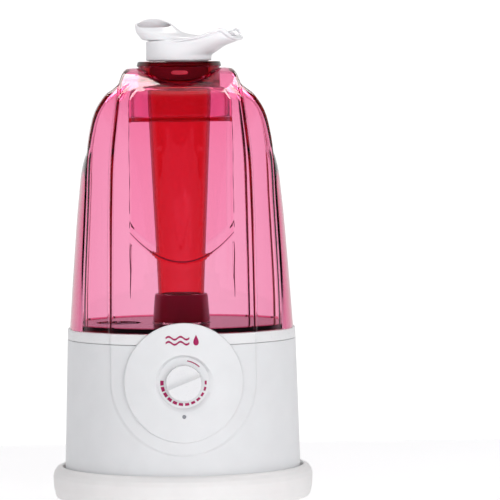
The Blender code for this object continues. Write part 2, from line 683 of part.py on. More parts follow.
def make_collar():
    """The dark collar in the tank's top, with its well below, and the lid that the outlets turn in."""
    wall = COLLAR_RADIUS / MM
    profile = [(wall - 2, 341.5), (wall, 341.5), (wall + 0.6, 340.9), (wall + 1.4, 337.9), (wall, 337.2),
               (wall, 321), (34, 320.2), (37, 318), (38.6, 315), (38.6, 295), (36.8, 295), (36.8, 315),
               (35, 318), (24.9, 318.6), (24.9, 321), (wall - 2, 321)]
    add_part("tank_collar", turned(profile, WIDE_STEPS), "tank_dark")
    hole = around(SPIGOT_RADIUS / MM + 0.1, WIDE_STEPS)
    lid = [(hole, 341.2), (wall - 2.3, 341.2), (wall - 2.3, 321.3), (wall - 3.9, 321.3), (wall - 3.9, 338.8),
           (hole, 338.8)]
    add_part("collar_lid", turned(lid, WIDE_STEPS), "tank_dark")


def make_cap(cap_axis, valve_axis):
    """The filler cap under the tank with its spring valve, which the post in the basin holds open."""
    floor = (BASIN_FLOOR + GAP) / MM
    add_part("valve_post", cylinder(3, floor, 116.7, SMALL_STEPS), "grey_plastic", (CAP_X, 0, 0))
    profile = [(20.3, 134), (22.4, 134), (23, 133.2), (23, 120.4), (22.2, 119.5), (5, 119.5), (5, 121.7),
               (20.3, 121.7)]
    cap = add_part("tank_cap", turned(profile, WIDE_STEPS), "grey_plastic", parent=cap_axis)
    place = (CAP_X, 0, 0)
    bridge = add_cutter("valve_bridge", box((27, 5, 16.8), (0, 0, 129.8)), place)
    combine(bridge, add_cutter("bridge_gap", box((23, 8, 20), (0, 0, 126)), place), "DIFFERENCE")
    combine(bridge, add_cutter("bridge_hole", cylinder(2.6, 130, 145, SMALL_STEPS), place), "DIFFERENCE")
    combine(cap, bridge, "UNION")
    gasket = turned([(17.4, 123.7), (20, 123.7), (20, 122), (17.4, 122)], WIDE_STEPS)
    add_part("cap_gasket", gasket, "rubber", parent=cap_axis)
    stem = [(0, 139.5), (1.5, 139.5), (1.5, 128.6), (2.2, 128), (2.2, 117), (0, 117)]
    add_part("valve_stem", turned(stem, SMALL_STEPS, closed=False), "grey_plastic", parent=valve_axis)
    seal = turned([(2.5, 127.7), (7.4, 127.7), (7.4, 126), (2.5, 126)], ROUND_STEPS)
    add_part("valve_seal", seal, "rubber", parent=valve_axis)
    make_valve_spring(cap_axis)


def make_valve_spring(axis):
    """A coil round the stem, between the seal and the cap's bridge."""
    bottom, top, turns, per_turn, radius = 128.6, 135.3, 3, 8, 3.8
    curve = bpy.data.curves.new("valve_spring", "CURVE")
    curve.dimensions = "3D"
    curve.bevel_depth = 0.4 * MM
    curve.bevel_resolution = 0
    curve.use_fill_caps = True
    spline = curve.splines.new("POLY")
    count = turns * per_turn
    spline.points.add(count)
    for i, point in enumerate(spline.points):
        angle = 2 * math.pi * i / per_turn
        height = bottom + (top - bottom) * i / count
        point.co = (radius * math.cos(angle) * MM, radius * math.sin(angle) * MM, height * MM, 1)
    item = bpy.data.objects.new("spring_coil", curve)
    PARTS.objects.link(item)
    mesh = mesh_of(item)
    bm = bmesh.new()
    bm.from_mesh(mesh)
    bmesh.ops.remove_doubles(bm, verts=bm.verts, dist=0.000001)
    bm.to_mesh(mesh)
    bm.free()
    add_part("valve_spring", mesh, "steel", parent=axis)


# ---------------------------------------------------------------- mist outlets

def outlet_ring(centre, left, right, half_depth, heights, front_drop=0.0, roundness=1.0):
    """One closed section of an outlet: half an oval each side of its centre, out to the left and right
    ends. heights is an (x, height) table, front_drop tips the front edge down, and a roundness under 1
    fills out the corners of the right half."""
    points = []
    for i in range(OUTLET_POINTS):
        angle = 2 * math.pi * i / OUTLET_POINTS
        across, along = math.cos(angle), math.sin(angle)
        if across > 0:
            x = centre + (right - centre) * across ** roundness
            y = half_depth * math.copysign(abs(along) ** roundness, along)
        else:
            x = centre + (centre - left) * across
            y = half_depth * along
        z = read_table(heights, x) + front_drop * along
        points.append((x * MM, y * MM, z * MM))
    return points


def round_ring(radius, height):
    return outlet_ring(0, -radius, radius, radius, ((0, height),))


def outlet(name, rings, axis, turn_degrees=0):
    """A thin-walled outlet through its rings, turned about the object's axis to its rest direction."""
    skin = loft(rings, cap_ends=False)
    skin.transform(Matrix.Rotation(math.radians(turn_degrees), 4, "Z"))
    item = add_part(name, skin, "white_shell", parent=axis, smooth_degrees=50)
    wall = item.modifiers.new("wall", "SOLIDIFY")
    wall.thickness = OUTLET_WALL
    wall.offset = -1
    wall.use_even_offset = False


def make_lower_outlet(axis):
    """A round cup on a spigot. One side runs out into an open spout, whose rim rises to a peak on each
    side of a lower lip."""
    spigot, cup = SPIGOT_RADIUS / MM, OUTLET_RADIUS / MM
    rim = ((-cup, 356.5), (-1.3, 357.3), (13.4, 358.3), (23.7, 360.4), (32.5, 363.5), (42.1, 367.2),
           (46.5, 363), (50.3, 359.4))
    rings = [
        round_ring(spigot, 327),
        round_ring(spigot, 341.8),
        round_ring(cup, 342.6),
        outlet_ring(0, -cup, 26, cup, ((-cup, 346), (26, 346.5))),
        outlet_ring(0, -cup, 31, cup, ((-cup, 349), (31, 349.8)), roundness=0.95),
        outlet_ring(0, -cup, 36.5, cup, ((-cup, 352.2), (36.5, 353.4)), roundness=0.87),
        outlet_ring(0, -cup, 45, cup, ((-cup, 354.6), (20, 356.2), (38, 359), (45, 356.3)), roundness=0.77),
        outlet_ring(0, -cup, 50.3, cup, rim, roundness=0.69),
    ]
    outlet("outlet_lower", rings, axis, SPOUT_DEGREES)


def make_upper_outlet(axis):
    """A hood that turns inside the cup and leans left to a mouth tipped to the front."""
    skirt = UPPER_RADIUS / MM
    rings = [
        round_ring(skirt, 345),
        round_ring(skirt, 357.4),
        outlet_ring(-3, -28, 20, 22, ((-28, 358.5), (20, 360.4)), 0.2),
        outlet_ring(-8, -31, 14, 19.8, ((-31, 361.6), (14, 361.8)), 0.6),
        outlet_ring(-15, -33.2, 4.5, 16.2, ((-33.2, 365), (4.5, 363.8)), 1.4),
        outlet_ring(-18.5, -33.7, -0.5, 13.4, ((-33.7, 368), (-0.5, 366.6)), 2.6),
        outlet_ring(-19.5, -33.5, -5.2, 11.2, ((-33.5, 370.1), (-19.5, 371.3), (-5.2, 370.3)), 3.6),
    ]
    outlet("outlet_upper", rings, axis)


# ---------------------------------------------------------------- assembly

def main():
    knob_axis = axis_empty("knob_axis", (0, 0, DIAL_HEIGHT), turned_to_front=True)
    fan_axis = axis_empty("fan_axis", (0, FAN_Y, 0))
    float_axis = axis_empty("float_axis", (FLOAT_X, 0, 0))
    cap_axis = axis_empty("cap_axis", (CAP_X, 0, 0))
    valve_axis = axis_empty("valve_axis", (CAP_X, 0, 0))
    lower_axis = axis_empty("lower_outlet_axis", (0, 0, 0))
    upper_axis = axis_empty("upper_outlet_axis", (0, 0, 0))
    make_feet()
    make_plinth()
    make_housing()
    make_front_disc()
    make_dial_dish()
    make_knob(knob_axis)
    make_potentiometer()
    make_led()
    make_rear_panel()
    make_basin()
    make_mist_tower()
    make_transducer()
    make_float(float_axis)
    make_fan(fan_axis)
    make_duct()
    make_electronics()
    make_screws()
    make_tank_shell()
    make_tank_floor()
    make_chimney()
    make_collar()
    make_cap(cap_axis, valve_axis)
    make_lower_outlet(lower_axis)
    make_upper_outlet(upper_axis)


main()
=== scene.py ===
"""Looks for the cool mist humidifier: fine surfaces, procedural materials, light and camera, built round the
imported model. Lengths are millimetres until a mesh is made; the front faces -Y."""

import math

import bmesh
import bpy
import numpy as np
from mathutils import Matrix, Vector


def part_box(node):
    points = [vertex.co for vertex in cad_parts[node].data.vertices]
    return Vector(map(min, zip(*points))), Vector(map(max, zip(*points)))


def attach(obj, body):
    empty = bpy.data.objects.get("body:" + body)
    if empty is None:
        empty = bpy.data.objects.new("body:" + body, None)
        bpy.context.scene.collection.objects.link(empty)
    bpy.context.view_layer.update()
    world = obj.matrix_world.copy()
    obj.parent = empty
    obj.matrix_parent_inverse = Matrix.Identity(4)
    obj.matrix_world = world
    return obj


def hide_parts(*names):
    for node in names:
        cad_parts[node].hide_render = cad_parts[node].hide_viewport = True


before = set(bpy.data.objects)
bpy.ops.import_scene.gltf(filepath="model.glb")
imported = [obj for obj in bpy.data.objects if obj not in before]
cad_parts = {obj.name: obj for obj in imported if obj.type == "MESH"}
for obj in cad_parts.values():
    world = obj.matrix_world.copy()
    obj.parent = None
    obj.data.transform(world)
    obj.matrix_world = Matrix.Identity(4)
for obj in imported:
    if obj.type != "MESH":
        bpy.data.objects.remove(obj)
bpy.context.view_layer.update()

MM = 0.001


def top_of(node):
    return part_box(node)[1].z / MM


def bottom_of(node):
    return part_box(node)[0].z / MM


def middle_of(node):
    low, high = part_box(node)
    return (low + high) / 2 / MM


# ---- sizes, in millimetres

OVAL_DIFFERENCE = 7  # the base's half depth is this much less than its half width
HOUSING_WIDTH_AT_FLOOR = 92.6
HOUSING_TAPER = 0.0292
HOUSING_BOTTOM = bottom_of("base_housing")
HOUSING_TOP = top_of("base_housing")
HOUSING_WALL = 2.5
SEAM = top_of("water_basin")
DIAL = middle_of("knob").z
BIB_RADIUS = 55.5
BIB_RISE = 1.5
DISC_RADIUS = 45.5
DISC_BACK, DISC_FRONT = 1.8, 4.0
DIAL_FACE = 83
KNOB_RADIUS = 13.8
SCOOP_DEPTH = 4.5  # above the knob's crest; the shaft stays covered
KNOB_POINTER_DEGREES = 22
LED_DROP = 25.8
DISH_OPENING = 27  # the housing is open behind the disc, this far from the dial's centre
GRILLE_LOW, GRILLE_HIGH = bottom_of("air_grille") - 0.3, top_of("air_grille") + 0.3
GRILLE_HALF_WIDTH = 30.3

TANK_BOTTOM = bottom_of("tank_shell")
TANK_WALL = 2.2
COLLAR_HOLE_RADIUS = 31.9
ROOF_START = 312
# (height, half width or half depth) of the tank's three lobes
CENTRE_WIDTH = ((134.9, 56.4), (201, 55.5), (234, 54.8), (269, 53.4), (297, 50.5), (318, 47.9),
                (324, 47), (329, 45.5), (333, 43.7), (335, 42.2), (336.3, 40.2), (337, 36))
CENTRE_DEPTH = ((134.9, 82.9), (145, 82.6), (201, 80), (234, 77), (262, 72.5), (285, 66.5), (303, 58.5),
                (312, 51.5), (316, 47.5), (321, 41), (326.5, 32.5), (331, 25), (334, 18), (337, 5))
MIDDLE_WIDTH = ((134.9, 76.2), (163, 75.7), (234, 72.3), (276, 70), (292.5, 67.2), (300, 65.2),
                (306.5, 62.4), (312.8, 58.3), (316, 55.6), (319, 52.4), (322, 49.3), (325, 46.5))
MIDDLE_DEPTH = ((134.9, 81), (201, 77.5), (234, 74), (262, 69), (285, 62), (303, 53.5), (316, 43), (325, 31))
OUTER_WIDTH = ((134.9, 87), (186, 83.3), (238, 78.8), (262, 75.5), (272, 72), (279, 66))
OUTER_DEPTH = ((134.9, 78.4), (201, 74), (238, 69.5), (262, 64), (272, 60), (279, 54))
FRONT_OVAL_WIDTH = ((134.9, 90.2), (201, 88), (262, 84), (337, 80))
OUTER_LOBE_TOP, MIDDLE_LOBE_TOP, CENTRE_LOBE_TOP = 279, 325, 337
STEP_SOFTNESS = 0.55  # half the width of the step from one lobe to the next
PANEL_HALF_WIDTH = 38.5  # the fine raised panel within the centre lobe
PANEL_RISE = 0.7
BOWL_LOW = 189  # height of the panel's bowl shaped lower edge, at its middle
BOWL_RISE = 21  # how much higher that edge is at the panel's sides

OUTLET_STEPS = 240
OUTLET_WALL = 1.7
BEAD_RISES = (-0.4, -1.2, -1.6, -1.3, 0.3, 1.1, 1.2, 1.2, 1.2, 1.1, 0.9)  # the spout's groove, then its bead
SPOUT_DEGREES = -20  # the spout's direction at rest, a little to the front of +X


# ---- curves and grids

def smooth_read(table, positions):
    """Reads a (position, value) table along a smooth curve through its entries."""
    keys = np.array([row[0] for row in table], float)
    values = np.array([row[1] for row in table], float)
    slopes = np.diff(values) / np.diff(keys)
    tangents = np.empty(len(keys))
    tangents[1:-1] = (slopes[1:] + slopes[:-1]) / 2
    tangents[0], tangents[-1] = slopes[0], slopes[-1]
    at = np.clip(np.asarray(positions, float), keys[0], keys[-1])
    i = np.clip(np.searchsorted(keys, at) - 1, 0, len(keys) - 2)
    width = keys[i + 1] - keys[i]
    t = (at - keys[i]) / width
    return hermite(t, values[i], values[i + 1], width * tangents[i], width * tangents[i + 1])


def hermite(t, start, end, start_slope, end_slope):
    return ((2 * t**3 - 3 * t**2 + 1) * start + (t**3 - 2 * t**2 + t) * start_slope
            + (3 * t**2 - 2 * t**3) * end + (t**3 - t**2) * end_slope)


def turn_steps(count):
    return np.arange(count) * 2 * math.pi / count


def points_at(x, y, z):
    """Points from three coordinates, each an array or one number for them all."""
    return np.stack(np.broadcast_arrays(x, y, z), -1)


def smoothstep(value):
    t = np.clip(value, 0, 1)
    return t * t * (3 - 2 * t)


def smooth_min(a, b, radius):
    h = np.clip(0.5 + 0.5 * (b - a) / radius, 0, 1)
    return b * (1 - h) + a * h - radius * h * (1 - h)


def filleted(points, radius, segments=4, closed=True):
    """A profile with its corners rounded, as far as its edges leave room."""
    result = []
    count = len(points)
    for i, point in enumerate(points):
        corner = Vector(point)
        if not closed and i in (0, count - 1):
            result.append(tuple(corner))
            continue
        before, after = Vector(points[i - 1]) - corner, Vector(points[(i + 1) % count]) - corner
        bend = before.angle(after)
        reach = min(radius / math.tan(bend / 2), 0.45 * before.length, 0.45 * after.length)
        start, end = corner + before.normalized() * reach, corner + after.normalized() * reach
        for k in range(segments + 1):
            t = k / segments
            result.append(tuple(start * (1 - t) ** 2 + corner * (2 * t * (1 - t)) + end * t**2))
    return result


def grid_faces(rows, columns, wrap_rows, wrap_columns, skip=None):
    """Quads between neighbouring rows and columns of a grid whose points are numbered row by row."""
    i = np.arange(rows if wrap_rows else rows - 1)
    j = np.arange(columns if wrap_columns else columns - 1)
    i, j = (part.ravel() for part in np.meshgrid(i, j, indexing="ij"))
    next_i, next_j = (i + 1) % rows, (j + 1) % columns
    row, next_row = i * columns, next_i * columns
    quads = np.stack([row + j, row + next_j, next_row + next_j, next_row + j], 1)
    if skip is not None:
        quads = quads[~skip[i, j]]
    return quads


def add_object(name, data):
    item = bpy.data.objects.new(name, data)
    bpy.context.scene.collection.objects.link(item)
    return item


def signed_volume(points, quads):
    a, b, c, d = (points[quads[:, k]] for k in range(4))
    return (np.einsum("ij,ij->i", a, np.cross(b, c)) + np.einsum("ij,ij->i", a, np.cross(c, d))).sum()


def make_piece(name, points, faces, material, body, replaces=(), sharp_degrees=40, ends=()):
    """A closed mesh piece from millimetre points, faces turned outwards, riding on its body."""
    points = np.asarray(points, float).reshape(-1, 3) * MM
    quads = np.asarray(faces)
    turned_in = signed_volume(points, quads) < 0
    if turned_in:
        quads = quads[:, ::-1]
    polygons = quads.tolist() + [list(end)[::-1] if turned_in else list(end) for end in ends]
    mesh = bpy.data.meshes.new(name)
    mesh.from_pydata(points.tolist(), [], polygons)
    mesh.validate()
    mesh.materials.append(material)
    mesh.shade_smooth()
    mesh.set_sharp_from_angle(angle=math.radians(sharp_degrees))
    item = add_object(name, mesh)
    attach(item, body)
    if replaces:
        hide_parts(*replaces)
    return item


def lathe(name, profile, material, body, replaces=(), slot=None, steps=128, centre=(0, 0), facing=None,
          fillet=0.4, closed=True, height=0, sharp_degrees=40):
    """A turned piece from a (radius, height) profile: closed for a ring, else from axis to axis. facing
    turns its top to the front or the back, about a centre at the given height."""
    rim = filleted(profile, fillet, closed=closed)
    angles = turn_steps(steps)
    radii, z = np.array(rim).T[:, :, None]
    x, y = np.maximum(radii, 0) * np.cos(angles), np.maximum(radii, 0) * np.sin(angles)
    if facing == "front":
        x, y, z = x, -z, y + height
    elif facing == "back":
        x, y, z = x, z, height - y
    points = points_at(x + centre[0], y + centre[1], z)
    quads = grid_faces(len(rim), steps, closed, True)
    item = make_piece(name, points, quads, material, body, replaces, sharp_degrees)
    if not closed:
        weld(item, sharp_degrees)
    return item


def weld(item, sharp_degrees=None, distance=0.000002):
    """Joins points that share a place, as where a turned piece meets its axis. With an angle given, it marks
    the sharp edges anew."""
    mesh = item.data
    bm = bmesh.new()
    bm.from_mesh(mesh)
    bmesh.ops.remove_doubles(bm, verts=bm.verts, dist=distance)
    bmesh.ops.dissolve_degenerate(bm, edges=bm.edges, dist=distance)
    bm.to_mesh(mesh)
    bm.free()
    if sharp_degrees:
        mesh.set_sharp_from_angle(angle=math.radians(sharp_degrees))


# ---- materials

def set_inputs(node, values):
    for name, value in values.items():
        node.inputs[name].default_value = value


def join(output, socket):
    output.id_data.links.new(output, socket)


def new_material(name):
    material = bpy.data.materials.new(name)
    material.use_nodes = True
    nodes = material.node_tree.nodes
    return material, nodes, nodes["Principled BSDF"]


def noise(nodes, scale, detail=2.0, roughness=0.5):
    """Noise by the object's own metres; scale is in features per metre."""
    place = nodes.new("ShaderNodeTexCoord")
    texture = nodes.new("ShaderNodeTexNoise")
    set_inputs(texture, {"Scale": scale, "Detail": detail, "Roughness": roughness})
    join(place.outputs["Object"], texture.inputs["Vector"])
    return texture.outputs["Fac"]


def ramp(nodes, value, source, result, smooth=False):
    """Maps one range onto another, and stops at its ends."""
    remap = nodes.new("ShaderNodeMapRange")
    if smooth:
        remap.interpolation_type = "SMOOTHSTEP"
    set_inputs(remap, dict(zip(("From Min", "From Max", "To Min", "To Max"), (*source, *result))))
    join(value, remap.inputs["Value"])
    return remap.outputs["Result"]


def spread(nodes, value, low, high):
    """Maps a 0.3 to 0.7 noise onto a range."""
    return ramp(nodes, value, (0.3, 0.7), (low, high))


def tone(nodes, value, dark, light):
    """A colour between two, by a noise."""
    mix = nodes.new("ShaderNodeMix")
    mix.data_type = "RGBA"
    set_inputs(mix, {"A": (*dark, 1), "B": (*light, 1)})
    join(spread(nodes, value, 0, 1), mix.inputs["Factor"])
    return mix.outputs["Result"]


def add_bumps(nodes, shader, layers):
    """Bump layers of (features per metre, depth in metres, detail), one on top of the other."""
    previous = None
    for scale, depth, detail in layers:
        bump = nodes.new("ShaderNodeBump")
        set_inputs(bump, {"Strength": 1, "Distance": depth})
        join(noise(nodes, scale, detail), bump.inputs["Height"])
        if previous:
            join(previous, bump.inputs["Normal"])
        previous = bump.outputs["Normal"]
    join(previous, shader.inputs["Normal"])


def moulded(name, colour, roughness=0.35, grain=0.000004, coat=0.0, metallic=0.0, variation=0.015,
            subsurface=0.0):
    """Moulded plastic, rubber or metal: fine grain, slow waviness, and slight changes of tone and polish."""
    material, nodes, shader = new_material(name)
    slow = noise(nodes, 60, 3)
    dark = tuple(c * (1 - variation) for c in colour)
    light = tuple(min(1, c * (1 + variation)) for c in colour)
    join(tone(nodes, slow, dark, light), shader.inputs["Base Color"])
    fine = noise(nodes, 900, 2)
    join(spread(nodes, fine, roughness * 0.88, roughness * 1.12), shader.inputs["Roughness"])
    set_inputs(shader, {"Metallic": metallic, "Coat Weight": coat, "Subsurface Weight": subsurface})
    if subsurface:
        set_inputs(shader, {"Subsurface Radius": (1, 0.8, 0.8), "Subsurface Scale": 0.002})
    add_bumps(nodes, shader, [(45, 0.00002, 1), (2600, grain, 2)])
    return material


def tinted(name, absorb_colour, density, roughness=0.02, waviness=0.00002, edge=None):
    """Clear tinted plastic: the colour is absorbed along the way through the wall. With an edge colour given,
    the wall is painted with shade: a darker colour where it is seen edge on."""
    material, nodes, shader = new_material(name)
    set_inputs(shader, {"Transmission Weight": 1, "IOR": 1.49, "Base Color": (1, 1, 1, 1)})
    if edge:
        # painted shade: the edge colour is mixed into the tint where the wall is seen edge on
        facing = nodes.new("ShaderNodeLayerWeight")
        facing.inputs["Blend"].default_value = 0.5
        near_edge = ramp(nodes, facing.outputs["Facing"], (0.62, 0.88), (0, 1), True)
        painted_edge_shade = tone(nodes, near_edge, (1, 1, 1), edge)
        join(painted_edge_shade, shader.inputs["Base Color"])
    fine = noise(nodes, 700, 2)
    join(spread(nodes, fine, roughness * 0.7, roughness * 1.4), shader.inputs["Roughness"])
    add_bumps(nodes, shader, [(38, waviness, 1), (160, waviness * 0.15, 2)])
    absorb = nodes.new("ShaderNodeVolumeAbsorption")
    set_inputs(absorb, {"Color": (*absorb_colour, 1), "Density": density})
    join(absorb.outputs["Volume"], nodes["Material Output"].inputs["Volume"])
    return material


WHITE_SHELL = moulded("white_shell", (0.84, 0.845, 0.86), roughness=0.34, coat=0.08, subsurface=0.1)
WHITE_RING = moulded("white_ring", (0.88, 0.88, 0.89), roughness=0.3, coat=0.08, subsurface=0.1)
# painted light: the plinth's white is brighter and warmer than the housing's, for the floor's light and the
# tank's pink light falling on it
PLINTH_LIT_WHITE = moulded("plinth_white", (0.93, 0.91, 0.905), roughness=0.4, subsurface=0.1)
KNOB_WHITE = moulded("knob_white", (0.86, 0.86, 0.875), roughness=0.3, coat=0.1, subsurface=0.1)
OUTLET_WHITE = moulded("outlet_white", (0.95, 0.935, 0.965), roughness=0.32, coat=0.1, subsurface=0.3)
RASPBERRY_INK = moulded("raspberry_ink", (0.42, 0.001, 0.1), roughness=0.4, grain=0.000002)
GREY_PLASTIC = moulded("grey_plastic", (0.42, 0.42, 0.44), roughness=0.5)
BLACK_PLASTIC = moulded("black_plastic", (0.03, 0.03, 0.032), roughness=0.5, grain=0.00001, variation=0.2)
RUBBER = moulded("rubber", (0.05, 0.05, 0.052), roughness=0.75, grain=0.00002, variation=0.2)
STEEL = moulded("steel", (0.6, 0.6, 0.62), roughness=0.3, metallic=1, variation=0.06)
ALUMINIUM = moulded("aluminium", (0.72, 0.72, 0.73), roughness=0.4, metallic=1, variation=0.06)
BRASS = moulded("brass", (0.66, 0.47, 0.2), roughness=0.35, metallic=1, variation=0.08)
BOARD_GREEN = moulded("board_green", (0.02, 0.14, 0.05), roughness=0.4, grain=0.00003, variation=0.2)
LED_GREY = moulded("led_grey", (0.3, 0.3, 0.33), roughness=0.15, coat=0.5)
TANK_TINT = tinted("tank_tint", (0.95, 0.05, 0.44), 225)
# the edge colours of the chimney and the well are painted shade, darkening their walls where seen edge on
CHIMNEY_RED = tinted("chimney_red", (0.93, 0.04, 0.18), 950, edge=(0.35, 0.02, 0.05))
WELL_TINT = tinted("well_tint", (0.98, 0.04, 0.5), 150, edge=(0.3, 0.01, 0.06))
TANK_DARK = tinted("tank_dark", (0.9, 0.03, 0.36), 600)
TURRET_PURPLE = moulded("turret_purple", (0.62, 0.055, 0.19), roughness=0.3)
# painted highlight: the collar's bar is a lighter pink, standing in for the red glint seen on the collar's
# front
COLLAR_HIGHLIGHT_PINK = moulded("collar_highlight_pink", (0.5, 0.015, 0.04), roughness=0.25)
COLLAR_DARK = tinted("collar_dark", (0.86, 0.02, 0.35), 950)
# painted shade: the dark maroon strips on the tank's front stand in for the shade along the raised panel's
# edges
SHADE_LINE_MAROON = moulded("shade_line_maroon", (0.1, 0.004, 0.02), roughness=0.3)


# ---- the base's oval surfaces

def front_columns():
    """Places across the front, closer together where the bib's edge runs."""
    inner = np.arange(0, 54.4, 0.9)
    edge = np.arange(54.4, 56.8, 0.2)
    outer = np.arange(57.2, 63, 1.4)
    half = np.concatenate([inner, edge, outer])
    return np.concatenate([-half[:0:-1], half])


FRONT_X = front_columns()
BACK_X = np.concatenate([np.arange(-40, -30.4, 1.6), [-GRILLE_HALF_WIDTH], np.arange(-29, 30, 2.0),
                         [GRILLE_HALF_WIDTH], np.arange(32, 40.5, 1.6)])
SIDE_STEPS = 56
NARROWEST_OVAL, WIDE_OVAL = 66, 90


def oval_stations(half_width):
    """Points round an oval of the base: fixed places across the front and the back, even angles between."""
    a, b = half_width, half_width - OVAL_DIFFERENCE
    front_x = np.clip(FRONT_X, -a, a)
    front = np.stack([front_x, -b * np.sqrt(1 - (front_x / a) ** 2)], 1)
    back_x = BACK_X[::-1]
    back = np.stack([back_x, b * np.sqrt(1 - (back_x / a) ** 2)], 1)
    start, end = math.asin(front_x[-1] / a), math.pi - math.asin(back_x[0] / a)
    angles = np.linspace(start, end, SIDE_STEPS + 2)[1:-1]
    right = np.stack([a * np.sin(angles), -b * np.cos(angles)], 1)
    left = right[::-1] * (-1, 1)
    return np.concatenate([front, right, back, left])


def oval_ring(half_width):
    """An oval's stations; a narrow one is a wide one scaled down, because the fixed places would not fit."""
    if half_width > NARROWEST_OVAL:
        return oval_stations(half_width)
    return oval_stations(WIDE_OVAL) * max(half_width, 0.01) / WIDE_OVAL


def bib_mask(x, z):
    """1 inside the raised U of the front panel, 0 outside, with a soft edge."""
    distance = np.where(z > DIAL, BIB_RADIUS - np.abs(x), BIB_RADIUS - np.hypot(x, np.minimum(z - DIAL, 0)))
    return smoothstep(distance / 1.1 + 0.5)


def housing_width(z):
    return HOUSING_WIDTH_AT_FLOOR - HOUSING_TAPER * z


def oval_rows(profile, raised):
    """Rows of points for an oval profile; raised says which of its points the front panel's rise moves."""
    rows = []
    for (half_width, z), lift in zip(profile, raised):
        ring = oval_ring(half_width)
        y = ring[:, 1] - lift * BIB_RISE * bib_mask(ring[:, 0], z) * (ring[:, 1] < 0)
        rows.append(points_at(ring[:, 0], y, z))
    return np.array(rows)


def oval_lathe(name, profile, material, replaces, fillet, raised_from=math.inf):
    """An oval piece from a profile that starts and ends on its axis. Where it is wider than raised_from, the
    front panel's rise moves it."""
    rim = filleted(profile, fillet, closed=False)
    rows = oval_rows(rim, [point[0] > raised_from for point in rim])
    quads = grid_faces(len(rows), rows.shape[1], False, True)
    item = make_piece(name, rows, quads, material, "base", replaces, 35)
    weld(item, 35)
    return item


def make_plinth():
    floor_top, floor_bottom = 5, 2.3
    profile = [(0, floor_top), (93.2, floor_top), (93.8, 26.2), (94.3, 27.3), (95.6, 27.4), (98.4, 26),
               (100.4, 23.2), (101.35, 19.5), (100.9, 11), (99.6, 4.8), (98.6, 2.9), (97, floor_bottom),
               (0, floor_bottom)]
    # the plinth's brighter, warmer white is painted light
    plinth = oval_lathe("plinth_shell", profile, PLINTH_LIT_WHITE, ["plinth"], 1.6)
    screws = [middle_of(f"base_screw_{number}") for number in range(1, 5)]
    holes = [cut_cylinder(2.1, (screw.x, screw.y, 4), 10) for screw in screws]
    fan = middle_of("fan_impeller")
    slots = [cut_box((44, 3, 10), (0, fan.y + (number - 2.5) * 6, 4)) for number in range(6)]
    cut_all(plinth, holes + slots)


def cut_box(size, centre):
    bm = bmesh.new()
    bmesh.ops.create_cube(bm, size=1)
    bmesh.ops.scale(bm, vec=Vector(size) * MM, verts=bm.verts)
    bmesh.ops.translate(bm, vec=Vector(centre) * MM, verts=bm.verts)
    return bm


def cut_cylinder(radius, centre, depth):
    bm = bmesh.new()
    bmesh.ops.create_cone(bm, cap_ends=True, segments=32, radius1=radius * MM, radius2=radius * MM,
                          depth=depth * MM)
    bmesh.ops.translate(bm, vec=Vector(centre) * MM, verts=bm.verts)
    return bm


def cut_all(item, cutters):
    """Cuts separate shapes out of a piece and keeps the result as its mesh."""
    merged = bmesh.new()
    for bm in cutters:
        part = bpy.data.meshes.new("part")
        bm.to_mesh(part)
        merged.from_mesh(part)
        bm.free()
    mesh = bpy.data.meshes.new("cutter")
    merged.to_mesh(mesh)
    merged.free()
    cutter = add_object("cutter", mesh)
    modifier = item.modifiers.new("cut", "BOOLEAN")
    modifier.object = cutter
    bpy.context.view_layer.update()
    graph = bpy.context.evaluated_depsgraph_get()
    result = bpy.data.meshes.new_from_object(item.evaluated_get(graph))
    item.modifiers.clear()
    item.data = result
    bpy.data.objects.remove(cutter)


def make_housing():
    """The base's shell, with the raised bib in front and a window for the grille behind."""
    rim = [HOUSING_TOP - 0.5, HOUSING_TOP - 0.15, HOUSING_TOP]
    z = np.unique(np.concatenate([np.arange(HOUSING_BOTTOM, 40, 3.0), np.arange(40, HOUSING_TOP - 1, 0.9),
                                  [GRILLE_LOW, GRILLE_HIGH], rim]).round(3))
    ease = np.interp(z, rim, [0, 0.12, 0.5])
    outer = oval_rows([(housing_width(h) - e, h) for h, e in zip(z, ease)], np.ones(len(z)))
    inner = oval_rows([(housing_width(h) - HOUSING_WALL, h) for h in z], np.zeros(len(z)))
    middle_x = (outer[0, :, 0] + np.roll(outer[0, :, 0], -1)) / 2
    behind = (outer[0, :, 1] + np.roll(outer[0, :, 1], -1)) > 0
    in_x = behind & (np.abs(middle_x) < GRILLE_HALF_WIDTH)
    middle_z = (z[1:] + z[:-1]) / 2
    in_z = (middle_z > GRILLE_LOW) & (middle_z < GRILLE_HIGH)
    skip = in_z[:, None] & in_x[None, :]
    from_dial = np.hypot(middle_x[None, :], middle_z[:, None] - DIAL)
    skip |= (from_dial < DISH_OPENING) & ~behind[None, :]
    make_walled_piece("housing_shell", outer, inner, skip, ["base_housing"])


def make_walled_piece(name, outer, inner, skip, replaces, wrapped=True):
    """A white shell with two skins of the same grid, joined at the rims and round the cells left out."""
    rows, columns = outer.shape[:2]
    count = rows * columns
    faces = grid_faces(rows, columns, False, wrapped, skip)
    edges = np.concatenate([faces[:, [k, (k + 1) % 4]] for k in range(4)])
    codes = edges[:, 0] * count + edges[:, 1]
    reverse = edges[:, 1] * count + edges[:, 0]
    start, end = edges[~np.isin(codes, reverse)].T
    walls = np.stack([end, start, start + count, end + count], 1)
    points = np.concatenate([outer.reshape(-1, 3), inner.reshape(-1, 3)])
    quads = np.concatenate([faces, faces[:, ::-1] + count, walls])
    return make_piece(name, points, quads, WHITE_SHELL, "base", replaces, 35)


